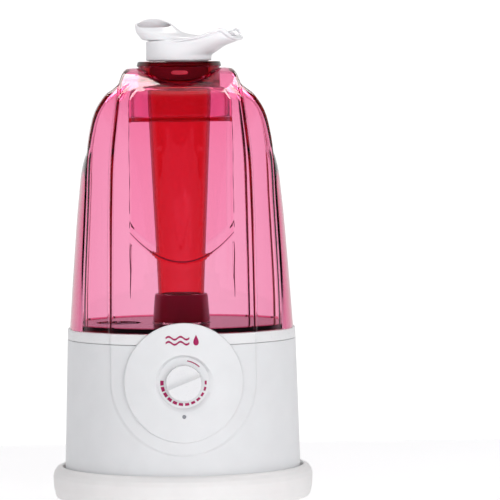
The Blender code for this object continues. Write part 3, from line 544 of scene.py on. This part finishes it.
def make_basin():
    """The basin with its outer band, which carries on the housing's line above a fine parting groove."""
    low = HOUSING_TOP + 0.4
    profile = [(0, 112), (74, 112), (77.5, 113), (79.5, 116), (83.2, SEAM), (88.2, SEAM), (88.66, SEAM - 0.5),
               (88.92, low), (86, low), (86, 122.3), (83.6, 122.3), (81.6, 113.5), (78, 109.5), (0, 109.5)]
    basin = oval_lathe("basin_shell", profile, WHITE_RING, ["water_basin"], 0.35, 87.5)
    transducer_hole = cut_cylinder(6, (0, middle_of("transducer_disc").y, 110), 12)
    air_slot = cut_box((11, 7.4, 20), (0, 8.8, 111))
    cut_all(basin, [transducer_hole, air_slot])


# ---- the dial

def front_surface(x, z, rise):
    """Y of the base's front, a rise in front of it."""
    a = housing_width(z) + rise
    b = a - OVAL_DIFFERENCE
    return -b * np.sqrt(1 - (x / a) ** 2)


def polar_piece(name, profile, material, replaces, steps=192, sharp=40):
    """A piece about the dial's axis. Its profile is (radius, rise, flatness) points: flatness 0 follows the
    base's curve at that rise, and 1 lies flat at that distance from the object's axis. A fourth number
    widens the radius below the dial."""
    angles = turn_steps(steps)
    below = smoothstep(0.35 - 0.75 * np.sin(angles) + 0.25 * np.cos(angles))
    rows = []
    for radius, rise, flat, *widening in profile:
        reach = radius + sum(widening) * below
        x, z = reach * np.cos(angles), DIAL + reach * np.sin(angles)
        curved = front_surface(x, z, 0 if flat == 1 else rise)
        y = curved * (1 - flat) - rise * flat
        rows.append(points_at(x, y, z))
    quads = grid_faces(len(rows), steps, True, True)
    return make_piece(name, np.array(rows), quads, material, "base", replaces, sharp)


def make_front_disc():
    """The round disc over the seam, which rolls in to the dial's flat face: steeply above it, and so gently
    below it that the two run into one."""
    outer = [(DISC_RADIUS - 0.9 * (1 - math.cos(angle)), DISC_FRONT - 0.9 * (1 - math.sin(angle)), 0)
             for angle in np.linspace(0, math.pi / 2, 6)]
    front = [(radius, DISC_FRONT, 0) for radius in np.linspace(DISC_RADIUS - 1.6, 29, 20)]
    lip = []
    for share in np.linspace(0, 1, 14):
        angle = share * math.pi / 2
        radius = 21.7 - 0.7 * math.sin(angle)
        lip.append((radius, DISC_FRONT - 0.7 * (1 - math.cos(angle)), 0, 5 * (1 - 0.8 * share)))
    wall = [(19.4, DIAL_FACE + 0.15, 1), (19.2, DIAL_FACE - 0.5, 1)]
    back = [(22.3, DISC_BACK, 0), (30, DISC_BACK, 0), (38, DISC_BACK, 0), (DISC_RADIUS - 0.2, DISC_BACK, 0)]
    disc = outer + front + lip + wall + back
    polar_piece("disc_shell", disc, WHITE_SHELL, ["front_disc"], sharp=50)
    dish = [(22.3, DIAL_FACE - 1.8, 1), (22.3, DIAL_FACE - 0.6, 1), (20.9, DIAL_FACE, 1), (18, DIAL_FACE, 1),
            (4.5, DIAL_FACE, 1), (4.5, DIAL_FACE - 1.8, 1)]
    polar_piece("dial_face", dish, WHITE_SHELL, ["dial_dish"], sharp=50)


def make_scale():
    """Twelve marks from nine o'clock round below to three, each thinner than the last, and the thin arc of
    the off position above."""
    points, quads = [], []
    for number in range(12):
        middle = math.radians(180 + 16.35 * number)
        add_arc_mark(points, quads, middle, math.radians(12.6 - 0.25 * number), 16.6, 2.6 - 0.1 * number)
    for number in range(6):
        add_arc_mark(points, quads, math.radians(78 - 6 * number), math.radians(6), 16.8, 0.8)
    make_piece("dial_marks", points, quads, RASPBERRY_INK, "base")


def add_arc_mark(points, quads, middle, span, radius, width):
    """One printed mark as a thin closed block on the dial's face."""
    sections = []
    for angle in np.linspace(middle - span / 2, middle + span / 2, 7):
        sections.append([(r * math.cos(angle), -DIAL_FACE - h, DIAL + r * math.sin(angle)) for r, h in (
            (radius - width / 2, 0.14), (radius + width / 2, 0.14), (radius + width / 2, 0.02),
            (radius - width / 2, 0.02))])
    add_ribbon(points, quads, sections)


def add_ribbon(points, quads, sections):
    """Adds a closed strip through sections of four points each."""
    base = len(points)
    for section in sections:
        points += section
    for i in range(len(sections) - 1):
        for k in range(4):
            a, b = base + 4 * i + k, base + 4 * i + (k + 1) % 4
            quads.append((a, b, b + 4, a + 4))
    quads.append((base + 3, base + 2, base + 1, base))
    quads.append(tuple(len(points) - 4 + k for k in range(4)))


def make_pictogram():
    """A plain drop beside two waves, printed on the disc above the dial."""
    points, quads = [], []
    top = DIAL + 32.5
    turns = np.linspace(0, 2 * math.pi, 41)[:-1]
    drop = [(9.5 + 2.9 * math.sin(t) * math.sin(t / 2) ** 1.4, top + 4.1 * math.cos(t)) for t in turns]
    for x, z in drop:
        for rise in (0.02, 0.16):
            points.append((x, float(front_surface(x, z, DISC_FRONT + rise)), z))
    count = len(drop)
    for i in range(count):
        a, b = 2 * i, 2 * ((i + 1) % count)
        quads.append((b, a, a + 1, b + 1))
    ends = [[2 * i + 1 for i in reversed(range(count))], [2 * i for i in range(count)]]
    make_waves(points, quads, top)
    make_piece("mist_pictogram", points, quads, RASPBERRY_INK, "base", ends=ends)


def make_waves(points, quads, top):
    """Two ribbons in a sine, to the left of the drop."""
    for offset in (-2.2, 1.6):
        sections = []
        for share in np.linspace(0, 1, 41):
            x = -13.5 + 18 * share
            middle = top + offset + 1.1 * math.sin(4 * math.pi * share)
            sections.append([(x, float(front_surface(x, middle + dz, DISC_FRONT + rise)), middle + dz)
                             for dz, rise in ((-0.75, 0.02), (0.75, 0.02), (0.75, 0.16), (-0.75, 0.16))])
        add_ribbon(points, quads, sections)


def make_knob():
    """A round knob with a sharp crest across it that points to the scale. Below the crest it falls away
    gently, and above it drops down a steep wall into a scoop."""
    base, tip = DIAL_FACE + 0.5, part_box("knob")[0].y / -MM
    steps = 360
    turn = math.radians(KNOB_POINTER_DEGREES)
    angles = turn + turn_steps(steps)
    rings = [(0, base), (KNOB_RADIUS - 0.3, base), (KNOB_RADIUS, base + 0.3)]
    for share in np.linspace(1, 0, 120) ** 0.8:
        radius = KNOB_RADIUS * share
        across = radius * np.sin(angles - turn)
        gentle = tip + 0.12 * across - 0.01 * across**2
        scoop = tip - SCOOP_DEPTH * (1 - np.exp(-np.clip(across, 0, None) / 1.9)) + 0.1 * across
        crown = np.where(across > 0.001, scoop, gentle)
        edge = base + 3.2 + 3 * np.sqrt(np.clip(1 - share**2, 0, 1)) + 6 * smoothstep((1 - share) * 18)
        rings.append((radius, smooth_min(crown, edge, 0.4)))
    rows = [points_at(radius * np.cos(angles), -height, DIAL + radius * np.sin(angles))
            for radius, height in rings]
    quads = grid_faces(len(rows), steps, False, True)
    weld(make_piece("knob_grip", rows, quads, KNOB_WHITE, "knob_body", ["knob"], 50), 50)


def make_led():
    place = {"facing": "front", "height": DIAL - LED_DROP}
    lens = [(0, 87.95), (0.9, 87.85), (1.7, 87.3), (1.7, 80), (0, 80)]
    lathe("lamp_lens", lens, LED_GREY, "base", ["led_lens"], "led", 48, fillet=0.15, closed=False, **place)


def make_grille():
    """The back grille: a curved plate with six rounded slots between level bars."""
    low, high = GRILLE_LOW + 0.3, GRILLE_HIGH - 0.3
    half = GRILLE_HALF_WIDTH - 0.3
    slot_reach = 26
    slots = [(low + high) / 2 + (number - 2.5) * 5.4 for number in range(6)]
    z = [[s - 1.5, s - 1.3, s, s + 1.3, s + 1.5] for s in slots]
    z = np.unique(np.concatenate([[low, low + 0.6, high - 0.6, high]] + z).round(3))
    x = np.concatenate([np.arange(0, slot_reach, 2), [slot_reach], np.arange(slot_reach + 1.3, half, 1.3),
                        [half]])
    x = np.concatenate([-x[:0:-1], x])
    skins = []
    for rise in (0.3, -2.2):
        across, up = np.meshgrid(x, z)
        skins.append(points_at(across, -front_surface(across, up, rise), up))
    middle_z, middle_x = (z[1:] + z[:-1]) / 2, (x[1:] + x[:-1]) / 2
    in_slot = np.any([np.abs(middle_z - s) < 1.3 for s in slots], 0)
    skip = in_slot[:, None] & (np.abs(middle_x) < slot_reach)[None, :]
    make_walled_piece("grille_plate", *skins, skip, ["air_grille"], wrapped=False)


# ---- the tank

def lobe_sizes(z, inset):
    """Half widths and depths of the three lobes at each height, set in by the wall, and the front oval's."""
    high = z + inset * 1.05
    tables = (CENTRE_WIDTH, CENTRE_DEPTH, MIDDLE_WIDTH, MIDDLE_DEPTH, OUTER_WIDTH, OUTER_DEPTH)
    return high, [smooth_read(table, high) - inset for table in (*tables, FRONT_OVAL_WIDTH)]


CENTRE_SHARES = np.concatenate([np.linspace(0, 0.985, 74)[:-1], [0.985]])
STEP_OFFSETS = np.linspace(-1, 1, 9) * STEP_SOFTNESS
MIDDLE_SHARES = np.linspace(0, 1, 18)[1:-1]
SIDE_ANGLES = np.linspace(0, math.pi / 2, 40)[1:]


def tank_outline(z, inset):
    """A quarter of the tank's section, front middle to side: three lobes with soft steps between."""
    high, (centre_x, centre_y, middle_x, middle_y, outer_x, outer_y, oval) = lobe_sizes(z, inset)
    middle_x = max(middle_x, centre_x + 2 * STEP_SOFTNESS + 0.4)
    outer_gone = float(smoothstep((high - OUTER_LOBE_TOP + 12) / 12))
    middle_gone = float(smoothstep((high - MIDDLE_LOBE_TOP + 9) / 9))
    least_side = middle_x + 2
    side = max(outer_x, least_side) * (1 - outer_gone) + least_side * outer_gone

    def bulge(x):
        return np.sqrt(np.clip(1 - (x / oval) ** 2, 0, 1))

    def middle_curve(x):
        corner = centre_y * bulge(centre_x)
        lobe = np.minimum(middle_y * bulge(x), corner - 0.3)
        return lobe * (1 - middle_gone) + (corner - 0.5) * middle_gone

    middle_end = float(middle_curve(middle_x))
    side_y = min(float(outer_y * bulge(middle_x)), middle_end - 0.3)
    side_y = side_y * (1 - outer_gone) + (middle_end - 0.4) * outer_gone
    step = smoothstep((STEP_OFFSETS + STEP_SOFTNESS) / (2 * STEP_SOFTNESS))
    centre = CENTRE_SHARES * (centre_x - STEP_SOFTNESS) / CENTRE_SHARES[-1]
    first_step = centre_x + STEP_OFFSETS[1:]
    first, last = centre_x + STEP_SOFTNESS, middle_x - STEP_SOFTNESS
    middle = first + (last - first) * MIDDLE_SHARES
    second_step = middle_x + STEP_OFFSETS
    start = middle_x + STEP_SOFTNESS
    x = [centre, first_step, middle, second_step, start + (side - start) * np.sin(SIDE_ANGLES)]
    first_y = centre_y * bulge(first_step) * (1 - step[1:]) + middle_curve(first_step) * step[1:]
    second_y = middle_curve(second_step) * (1 - step) + side_y * step
    y = [centre_y * bulge(centre), first_y, middle_curve(middle), second_y, side_y * np.cos(SIDE_ANGLES)]
    return np.concatenate(x), np.concatenate(y)


def panel_rise(x, z):
    """The fine raised panel on the centre lobe: straight sides, and a bowl shaped lower edge."""
    bowl = BOWL_LOW + BOWL_RISE * (x / PANEL_HALF_WIDTH) ** 2
    inside = smoothstep((PANEL_HALF_WIDTH - np.abs(x)) / 0.9 + 0.5) * smoothstep((z - bowl) / 1.0 + 0.5)
    rib = np.exp(-((np.abs(x) - PANEL_HALF_WIDTH - 1) / 0.7) ** 2)
    rib *= smoothstep((z - 155) / 40) * (1 - smoothstep((z - 203) / 3))
    return PANEL_RISE * inside * (1 - smoothstep((z - 308) / 14)) + 0.5 * rib


def tank_row(z, inset, embossed):
    x, y = tank_outline(z, inset)
    if embossed:
        y = y + panel_rise(x, z) * (np.arange(len(x)) < len(CENTRE_SHARES))
    round_x = np.concatenate([x, x[-2::-1], -x[1:], -x[-2:0:-1]])
    round_y = np.concatenate([-y, y[-2::-1], y[1:], -y[-2:0:-1]])
    return points_at(round_x, round_y, z)


def roof_height(x, y, inset):
    """Height of the tank's top over a point: the centre lobe's or the middle one's, whichever is higher."""
    levels = np.linspace(ROOF_START - 30, CENTRE_LOBE_TOP, 260)
    _, sizes = lobe_sizes(levels - inset * 1.05, inset)
    slope = np.sqrt(np.clip(1 - (x / FRONT_OVAL_WIDTH[-1][1]) ** 2, 0.05, 1))
    heights = []
    for width, depth, top in ((*sizes[:2], CENTRE_LOBE_TOP), (*sizes[2:4], MIDDLE_LOBE_TOP)):
        inside = levels <= top
        by_width = np.interp(np.abs(x), width[inside][::-1], levels[inside][::-1])
        by_depth = np.interp(np.abs(y) / slope, depth[inside][::-1], levels[inside][::-1])
        heights.append(smooth_min(by_width, by_depth, 2.0))
    return np.maximum(heights[0], heights[1]) - inset * 1.05


def roof_rows(start_row, inset, count=60):
    """Rows from the section at the roof's foot in to the round hole for the collar."""
    angles = np.arctan2(start_row[:, 1], start_row[:, 0])
    hole = COLLAR_HOLE_RADIUS * np.stack([np.cos(angles), np.sin(angles)], 1)
    step_at_foot = start_row[:, 2] - roof_height(start_row[:, 0], start_row[:, 1], inset)
    rows = []
    for share in np.linspace(0, 1, count)[1:]:
        plan = start_row[:, :2] * (1 - share) + hole * share
        fade = 1 - smoothstep(share * 2.2)
        rows.append(np.column_stack([plan, roof_height(plan[:, 0], plan[:, 1], inset) + step_at_foot * fade]))
    return rows


def tank_levels(start, end):
    return np.concatenate([np.arange(start, 300, 1.3), np.arange(300, end, 0.7), [end]])


def make_tank_shell():
    outer = [tank_row(z, 0, True) for z in tank_levels(TANK_BOTTOM, ROOF_START)]
    outer += roof_rows(outer[-1], 0)
    inner = [tank_row(z, TANK_WALL, False) for z in tank_levels(TANK_BOTTOM, ROOF_START - TANK_WALL)]
    inner += roof_rows(inner[-1], TANK_WALL)
    rows = np.array(outer + inner[::-1])
    quads = grid_faces(len(rows), rows.shape[1], True, True)
    make_piece("tank_lobes", rows, quads, TANK_TINT, "tank", ["tank_shell"], 50)


def make_tank_shade_lines():
    """Dark lines on the front that paint the shade at the raised panel's edges: along the panel's sides, and
    round its bowl shaped edge. Each is a path of (x, z, width) points."""
    edge = PANEL_HALF_WIDTH + 1
    paths = [[(x, BOWL_LOW + 0.5 + BOWL_RISE * (x / PANEL_HALF_WIDTH) ** 2, 0.9 - 0.5 * (x / edge) ** 2)
              for x in np.linspace(-edge, edge, 61)]]
    upper = [(edge + 0.15 * math.sin(z / 7), z, 0.32 + 0.14 * math.sin(z / 3)) for z in range(226, 298, 2)]
    lower = [(edge + 0.2 * math.sin(z / 5), z, 0.9 * math.sin(math.pi * (z - 160) / 46) ** 0.6)
             for z in range(162, 206, 2)]
    hook = [(edge + 0.5, 215, 0.3), (edge - 0.2, 220, 1.2), (edge - 1.6, 216.5, 1.3),
            (edge - 3.2, 214.5, 0.6)]
    for side in (-1, 1):
        paths += [[(side * x, z, width) for x, z, width in path] for path in (upper, lower, hook)]
    for number, path in enumerate(paths):
        make_tank_shade_line(f"tank_shade_line_{number}", np.array(path, float))


def make_tank_shade_line(name, path):
    """A thin flat strip of painted shade, laid along a path on the tank's front."""
    along = np.gradient(path[:, :2], axis=0)
    across = np.stack([-along[:, 1], along[:, 0]], 1) / np.linalg.norm(along, axis=1, keepdims=True)
    rows = []
    for (x, z, width), (across_x, across_z) in zip(path, across):
        row = []
        for shift, rise in ((-0.5, 0.03), (0.5, 0.03), (0.5, 0.2), (-0.5, 0.2)):
            px, pz = x + across_x * shift * width, z + across_z * shift * width
            depth = np.interp(abs(px), *tank_outline(pz, 0)) + panel_rise(px, pz)
            row.append((px, -depth - rise, pz))
        rows.append(row)
    last = 4 * (len(rows) - 1)
    ends = [(3, 2, 1, 0), (last, last + 1, last + 2, last + 3)]
    quads = grid_faces(len(rows), 4, False, True)
    make_piece(name, np.array(rows), quads, SHADE_LINE_MAROON, "tank", ends=ends)


def make_tank_floor():
    """The tray in the tank's bottom with its turret, the turret's lining and the filler's neck."""
    inset, wall = TANK_WALL + 0.3, 1.8
    top, floor, bottom = 139.2, 138.4, 135.2
    outer = [tank_row(z, inset, False) for z in (bottom, 136.5, 138, top)]
    inner = [tank_row(z, inset + wall, False) for z in (top, 138.8, floor)]
    shrink = [inner[-1] * (s, s, 1) for s in (0.8, 0.5)]
    unit = inner[-1] * (1, 1, 0) / np.linalg.norm(inner[-1][:, :2], axis=1, keepdims=True)
    turret = [unit * radius + (0, 0, z) for radius, z in (
        (23, floor), (22.1, floor + 0.9), (22.05, 142), (20.9, 157), (20.6, 159.6), (20.2, 160.6),
        (19.6, 161), (18.2, 161), (18.2, 150.7), (17.2, 150.7), (17.2, bottom))]
    under = [inner[-1] * (s, s, 0) + (0, 0, bottom) for s in (0.5, 0.8)]
    rows = np.array(outer + inner + shrink + turret + under)
    quads = grid_faces(len(rows), rows.shape[1], True, True)
    tray = make_piece("tank_tray", rows, quads, TANK_DARK, "tank", ["tank_floor"], 40)
    cap = middle_of("tank_cap")
    cut_all(tray, [cut_cylinder(17.5, (cap.x, 0, 137), 12)])
    liner = [(18.9, 160.2), (19.7, 160.2), (21, 139.2), (18.9, 139.2)]
    lathe("turret_liner", liner, TURRET_PURPLE, "tank", slot="tank_dark", fillet=0.2)
    neck = [(17.5, 134.9), (20, 134.9)]
    for thread in (132.6, 129.6, 126.6):
        neck += [(20, thread + 0.4), (20.15, thread), (20, thread - 0.4)]
    neck += [(20, 124), (17.5, 124)]
    lathe("filler_neck", neck, TANK_DARK, "tank", slot="tank_dark", centre=(cap.x, 0), fillet=0.15)


def make_chimney():
    profile = [(22.6, 323), (27.4, 323), (27.4, 321.3), (24.6, 321.3), (24.5, 316), (21, 234), (19.5, 201),
               (17.9, 163), (17.9, 151), (15.9, 151), (15.9, 163), (17.5, 201), (19, 234), (22.5, 316)]
    lathe("chimney_wall", profile, CHIMNEY_RED, "tank", ["chimney_tube"], "chimney_tint")


def make_collar():
    """The dark collar round the outlets, the clear well that hangs under it, and the lid inside."""
    rim = [(29.6, 341.5), (31.6, 341.5), (32.2, 340.9), (33, 337.9), (31.6, 337.2), (31.6, 319.2),
           (24.9, 318.8), (24.9, 321), (29.6, 321)]
    lathe("collar_rim", rim, COLLAR_DARK, "tank", ["tank_collar"], "tank_dark", 160)
    well = [(31.9, 320.6), (34, 320.2), (37, 318), (38.6, 315), (38.6, 298.8), (36.2, 298.8), (36.2, 315),
            (34.6, 317.6), (31.9, 318.2)]
    lathe("well_wall", well, WELL_TINT, "tank", slot="tank_dark", steps=160)
    hem = [(36.1, 298.5), (38.9, 298.5), (38.9, 294.9), (36.1, 294.9)]
    lathe("well_hem", hem, COLLAR_DARK, "tank", slot="tank_dark", steps=160)
    lid = [(23, 341.2), (29.3, 341.2), (29.3, 321.3), (27.7, 321.3), (27.7, 338.8), (23, 338.8)]
    lathe("lid_ring", lid, COLLAR_DARK, "tank", ["collar_lid"], "tank_dark", 160)


def make_collar_highlight():
    """The small raised bar on the collar's front, in a lighter pink: a painted highlight for the red glint
    there.
    """
    half_width, half_height, middle, collar = 6.6, 1.7, 332.8, 31.6
    angles = turn_steps(64)
    rows = []
    for share, rise in ((1, -0.3), (1, 0.25), (0.9, 0.45), (0.6, 0.5), (0, 0.5)):
        x = half_width * share * np.sign(np.cos(angles)) * np.abs(np.cos(angles)) ** 0.45
        z = middle + half_height * share * np.sin(angles)
        rows.append(points_at(x, -np.sqrt((collar + rise) ** 2 - x**2), z))
    rows.insert(0, rows[0] * (0, 1, 0) + (0, 0, middle))
    quads = grid_faces(len(rows), 64, False, True)
    weld(make_piece("collar_highlight", rows, quads, COLLAR_HIGHLIGHT_PINK, "tank"))


# ---- mist outlets

def outlet_section(centre, left, right, half_depth, heights, front_drop=0.0, roundness=1.0):
    """One section of an outlet, as half ovals each side of its centre; a roundness under 1 fills out the
    corners of the right half."""
    angles = turn_steps(OUTLET_STEPS)
    across, along = np.cos(angles), np.sin(angles)
    right_x = centre + (right - centre) * np.abs(across) ** roundness
    right_y = half_depth * np.sign(along) * np.abs(along) ** roundness
    x = np.where(across > 0, right_x, centre + (centre - left) * across)
    y = np.where(across > 0, right_y, half_depth * along)
    return points_at(x, y, smooth_read(heights, x) + front_drop * along)


def between_sections(sections, positions):
    """Smooth rows through a few key sections."""
    tangents = np.gradient(np.array(sections), axis=0)
    rows = []
    for at in positions:
        i = min(int(at), len(sections) - 2)
        rows.append(hermite(at - i, sections[i], sections[i + 1], tangents[i], tangents[i + 1]))
    return rows


def outward_normals(rows):
    along = np.gradient(rows, axis=0)
    round_way = np.roll(rows, -1, 1) - np.roll(rows, 1, 1)
    normal = np.cross(round_way, along)
    return normal / np.linalg.norm(normal, axis=2, keepdims=True)


def walled_outlet(name, rows, body, replaces, turn_degrees=0):
    """Gives an outlet's skin its wall inwards, with a rounded lip at its last section; at the first, the two
    skins are joined straight across.
    """
    rows = np.array(rows)
    inner = rows - outward_normals(rows) * OUTLET_WALL
    direction = rows[-1] - rows[-2]
    direction /= np.linalg.norm(direction, axis=1, keepdims=True)
    lip = [rows[-1] * (1 - share) + inner[-1] * share + direction * rise
           for share, rise in ((0.1, 0.25), (0.3, 0.42), (0.7, 0.42), (0.9, 0.25))]
    full = np.concatenate([rows, lip, inner[::-1]])
    turn = math.radians(turn_degrees)
    x, y, z = np.moveaxis(full, -1, 0)
    turned = points_at(x * math.cos(turn) - y * math.sin(turn), x * math.sin(turn) + y * math.cos(turn), z)
    quads = grid_faces(len(turned), OUTLET_STEPS, True, True)
    return make_piece(name, turned, quads, OUTLET_WHITE, body, replaces, 60)


def level(radius, height):
    return outlet_section(0, -radius, radius, radius, ((-radius, height), (radius, height)))


def make_lower_outlet():
    """The cup, whose spout has a peak on each side of a lower lip and a thickened rim."""
    cup = 25.4
    lip = ((-cup, 354.6), (20, 356.2), (38, 359), (45, 356.3))
    rim = ((-cup, 356.4), (-1.3, 357.3), (13.4, 358.4), (23.7, 360.6), (32.5, 363.8), (40, 366.9),
           (42.3, 367.2), (44.5, 365.2), (47, 361.6), (50.3, 359.4))
    sections = [
        level(cup, 342.8),
        outlet_section(0, -cup, 26, cup, ((-cup, 346), (0, 346.1), (26, 346.5))),
        outlet_section(0, -cup, 31, cup, ((-cup, 349), (0, 349.2), (31, 349.8)), roundness=0.95),
        outlet_section(0, -cup, 36.5, cup, ((-cup, 352.2), (0, 352.4), (36.5, 353.4)), roundness=0.87),
        outlet_section(0, -cup, 45, cup, lip, roundness=0.77),
        outlet_section(0, -cup, 50.3, cup, rim, roundness=0.69),
    ]
    rows = [level(22.9, z) for z in (327, 334, 341.9)]
    rows += [level(r, z) for r, z in ((23.4, 342.2), (25, 342.35))]
    skin = np.array(between_sections(sections, np.linspace(0, 5, 76)))
    normal = outward_normals(skin)
    for row, rise in enumerate(BEAD_RISES, -len(BEAD_RISES)):
        skin[row] += normal[row] * rise * smoothstep((skin[row, :, 0] + 2) / 16)[:, None]
    walled_outlet("outlet_cup", rows + list(skin), "lower_nozzle", ["outlet_lower"], SPOUT_DEGREES)


def make_upper_outlet():
    skirt = 23.2
    sections = [
        level(skirt, 351),
        level(skirt, 357.2),
        outlet_section(-3, -28, 20, 22, ((-28, 358.4), (20, 360.4)), 0.2),
        outlet_section(-8, -31, 14, 19.8, ((-31, 361.6), (14, 361.9)), 0.6),
        outlet_section(-15, -33.2, 4.5, 16.2, ((-33.2, 365), (4.5, 363.8)), 1.4),
        outlet_section(-18.5, -33.7, -0.5, 13.4, ((-33.7, 368), (-0.5, 366.6)), 2.6),
        outlet_section(-19.5, -33.5, -5.2, 11.2, ((-33.5, 370.1), (-19.5, 371.3), (-5.2, 370.3)), 3.6),
    ]
    rows = [level(skirt, z) for z in (345, 348)]
    rows += between_sections(sections, np.linspace(0, 6, 78))
    walled_outlet("outlet_hood", rows, "upper_nozzle", ["outlet_upper"])


# ---- CAD nodes that stay as they are

def four(name):
    return " ".join(f"{name}_{number}" for number in range(1, 5))


PAINT = {
    "grey_plastic": (GREY_PLASTIC, "mist_tower float float_post float_clip tank_cap valve_stem valve_post "
                     "potentiometer air_duct " + four("board_pillar")),
    "black_plastic": (BLACK_PLASTIC, "fan_frame fan_impeller led_holder float_switch power_module capacitor"),
    "rubber": (RUBBER, four("rubber_foot") + " transducer_seal chimney_seal cap_gasket valve_seal"),
    "steel": (STEEL, four("base_screw") + " potentiometer_nut valve_spring"),
    "aluminium": (ALUMINIUM, "transducer_holder heat_sink"),
    "board": (BOARD_GREEN, "drive_board"),
    "brass": (BRASS, "transducer_disc knob_shaft"),
}


def paint_nodes():
    for slot, (material, names) in PAINT.items():
        for name in names.split():
            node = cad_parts[name]
            node.data.materials.clear()
            node.data.materials.append(material)


def make_gland():
    profile = [(3.3, 87), (6.2, 87), (8.8, 86.2), (9.2, 84.9), (7, 84.9), (7, 80.2), (9.2, 80.2), (9.2, 78),
               (3.3, 78)]
    lathe("gland_ring", profile, RUBBER, "base", ["lead_gland"], "rubber", 64, facing="back", fillet=0.5,
          height=middle_of("lead_gland").z)


# ---- stage

FRONT_FILL, BACKDROP_FILL = 0.32, 0.75  # the fill light's strength from before and from behind the object
TABLE_BACK = 0.41  # metres behind the object's axis
CAMERA_PLACE = Vector((-0.040, -2.70, 0.329))
CAMERA_TARGET = Vector((0.054, 0, 0.194))
CAMERA_LENS = 249.5
CAMERA_ROLL_DEGREES = 0.55


def make_floor():
    """A pale table top, whose back edge shows as a faint line behind the object."""
    mesh = bpy.data.meshes.new("table")
    mesh.from_pydata([(-3, -3, 0), (3, -3, 0), (3, TABLE_BACK, 0), (-3, TABLE_BACK, 0)], [], [(0, 1, 2, 3)])
    floor = add_object("floor", mesh)
    material, nodes, shader = new_material("pale_floor")
    table_tone = tone(nodes, noise(nodes, 4, 2), (0.87, 0.865, 0.87), (0.9, 0.89, 0.895))
    join(table_tone, shader.inputs["Base Color"])
    set_inputs(shader, {"Roughness": 0.3, "Emission Color": (1, 0.99, 1, 1)})
    lit_by_it = nodes.new("ShaderNodeLightPath").outputs["Is Diffuse Ray"]
    join(ramp(nodes, lit_by_it, (0, 1), (0.38, 0.3)), shader.inputs["Emission Strength"])
    mesh.materials.append(material)
    floor.visible_glossy = False


def area_light(name, location, target, size, power, colour=(1, 1, 1), diffuse=True, glossy=True,
               spread_degrees=180):
    data = bpy.data.lights.new(name, "AREA")
    data.shape = "RECTANGLE"
    data.size, data.size_y = size
    data.energy = power
    data.color = colour
    data.spread = math.radians(spread_degrees)
    item = add_object(name, data)
    item.location = location
    item.rotation_euler = (Vector(target) - Vector(location)).to_track_quat("-Z", "Y").to_euler()
    item.visible_diffuse = diffuse
    item.visible_glossy = glossy
    item.visible_transmission = glossy
    return item


def make_world():
    """White for the eye and through clear plastic, and dimmer for fill light. Whatever has been reflected
    sees the white backdrop behind the object and a dim room in front of it."""
    world = bpy.data.worlds.new("studio")
    bpy.context.scene.world = world
    world.use_nodes = True
    nodes = world.node_tree.nodes
    path = nodes.new("ShaderNodeLightPath")
    direction = nodes.new("ShaderNodeTexCoord")
    split = nodes.new("ShaderNodeSeparateXYZ")
    join(direction.outputs["Generated"], split.inputs[0])
    reflected = nodes.new("ShaderNodeMath")
    reflected.operation = "GREATER_THAN"
    reflected.inputs[1].default_value = 0.5
    join(path.outputs["Glossy Depth"], reflected.inputs[0])
    room = nodes.new("ShaderNodeBackground")
    join(ramp(nodes, split.outputs["Y"], (0, 0.45), (0.06, 0.95), True), room.inputs["Strength"])
    fill = nodes.new("ShaderNodeBackground")
    fill.inputs["Color"].default_value = (0.96, 0.97, 1, 1)
    join(ramp(nodes, split.outputs["Y"], (-0.1, 0.9), (FRONT_FILL, BACKDROP_FILL)), fill.inputs["Strength"])
    shade = nodes["Background"]
    set_inputs(shade, {"Color": (1, 1, 1, 1), "Strength": 1.1})
    for when, other in ((reflected.outputs[0], room), (path.outputs["Is Diffuse Ray"], fill)):
        mix = nodes.new("ShaderNodeMixShader")
        join(when, mix.inputs["Fac"])
        join(shade.outputs[0], mix.inputs[1])
        join(other.outputs["Background"], mix.inputs[2])
        shade = mix
    join(shade.outputs[0], nodes["World Output"].inputs["Surface"])


def make_lights():
    area_light("key", (0.9, -1.85, 0.4), (0, 0, 0.15), (1.1, 1.1), 13.8, glossy=False)
    area_light("front_fill", (-0.45, -1.9, 0.3), (0, 0, 0.15), (1.2, 1.2), 9.3, glossy=False)
    area_light("top", (0, 0.1, 1.6), (0, 0, 0.2), (1.2, 1.2), 1.5, glossy=False)
    area_light("outlets", (-0.45, -0.85, 0.85), (0, 0, 0.37), (0.3, 0.3), 0.03, glossy=False,
               spread_degrees=24)
    for side in (-1, 1):
        area_light(f"glint_{side}", (0.62 * side, 0.55, 1.7), (0, 0, 0.33), (1.1, 0.75), 20, (1, 0.95, 0.9),
                   diffuse=False)


def make_camera():
    data = bpy.data.cameras.new("camera")
    data.lens = CAMERA_LENS
    data.sensor_width = 36
    data.clip_start, data.clip_end = 0.05, 50
    camera = add_object("camera", data)
    camera.location = CAMERA_PLACE
    aim = (CAMERA_TARGET - CAMERA_PLACE).to_track_quat("-Z", "Y")
    roll = Matrix.Rotation(math.radians(-CAMERA_ROLL_DEGREES), 4, "Z")
    camera.rotation_euler = (aim.to_matrix().to_4x4() @ roll).to_euler()
    bpy.context.scene.camera = camera


def set_view():
    """Plain colours, and enough bounces for a line of sight that crosses up to ten clear walls."""
    scene = bpy.context.scene
    scene.view_settings.view_transform = "Standard"
    scene.view_settings.look = "None"
    scene.cycles.max_bounces = 24
    scene.cycles.transmission_bounces = 24
    scene.cycles.glossy_bounces = 12
    scene.cycles.transparent_max_bounces = 16


def main():
    make_plinth()
    make_housing()
    make_basin()
    make_front_disc()
    make_scale()
    make_pictogram()
    make_knob()
    make_led()
    make_grille()
    make_gland()
    make_tank_shell()
    make_tank_shade_lines()
    make_tank_floor()
    make_chimney()
    make_collar()
    make_collar_highlight()
    make_lower_outlet()
    make_upper_outlet()
    paint_nodes()
    make_floor()
    make_world()
    make_lights()
    make_camera()
    set_view()


main()
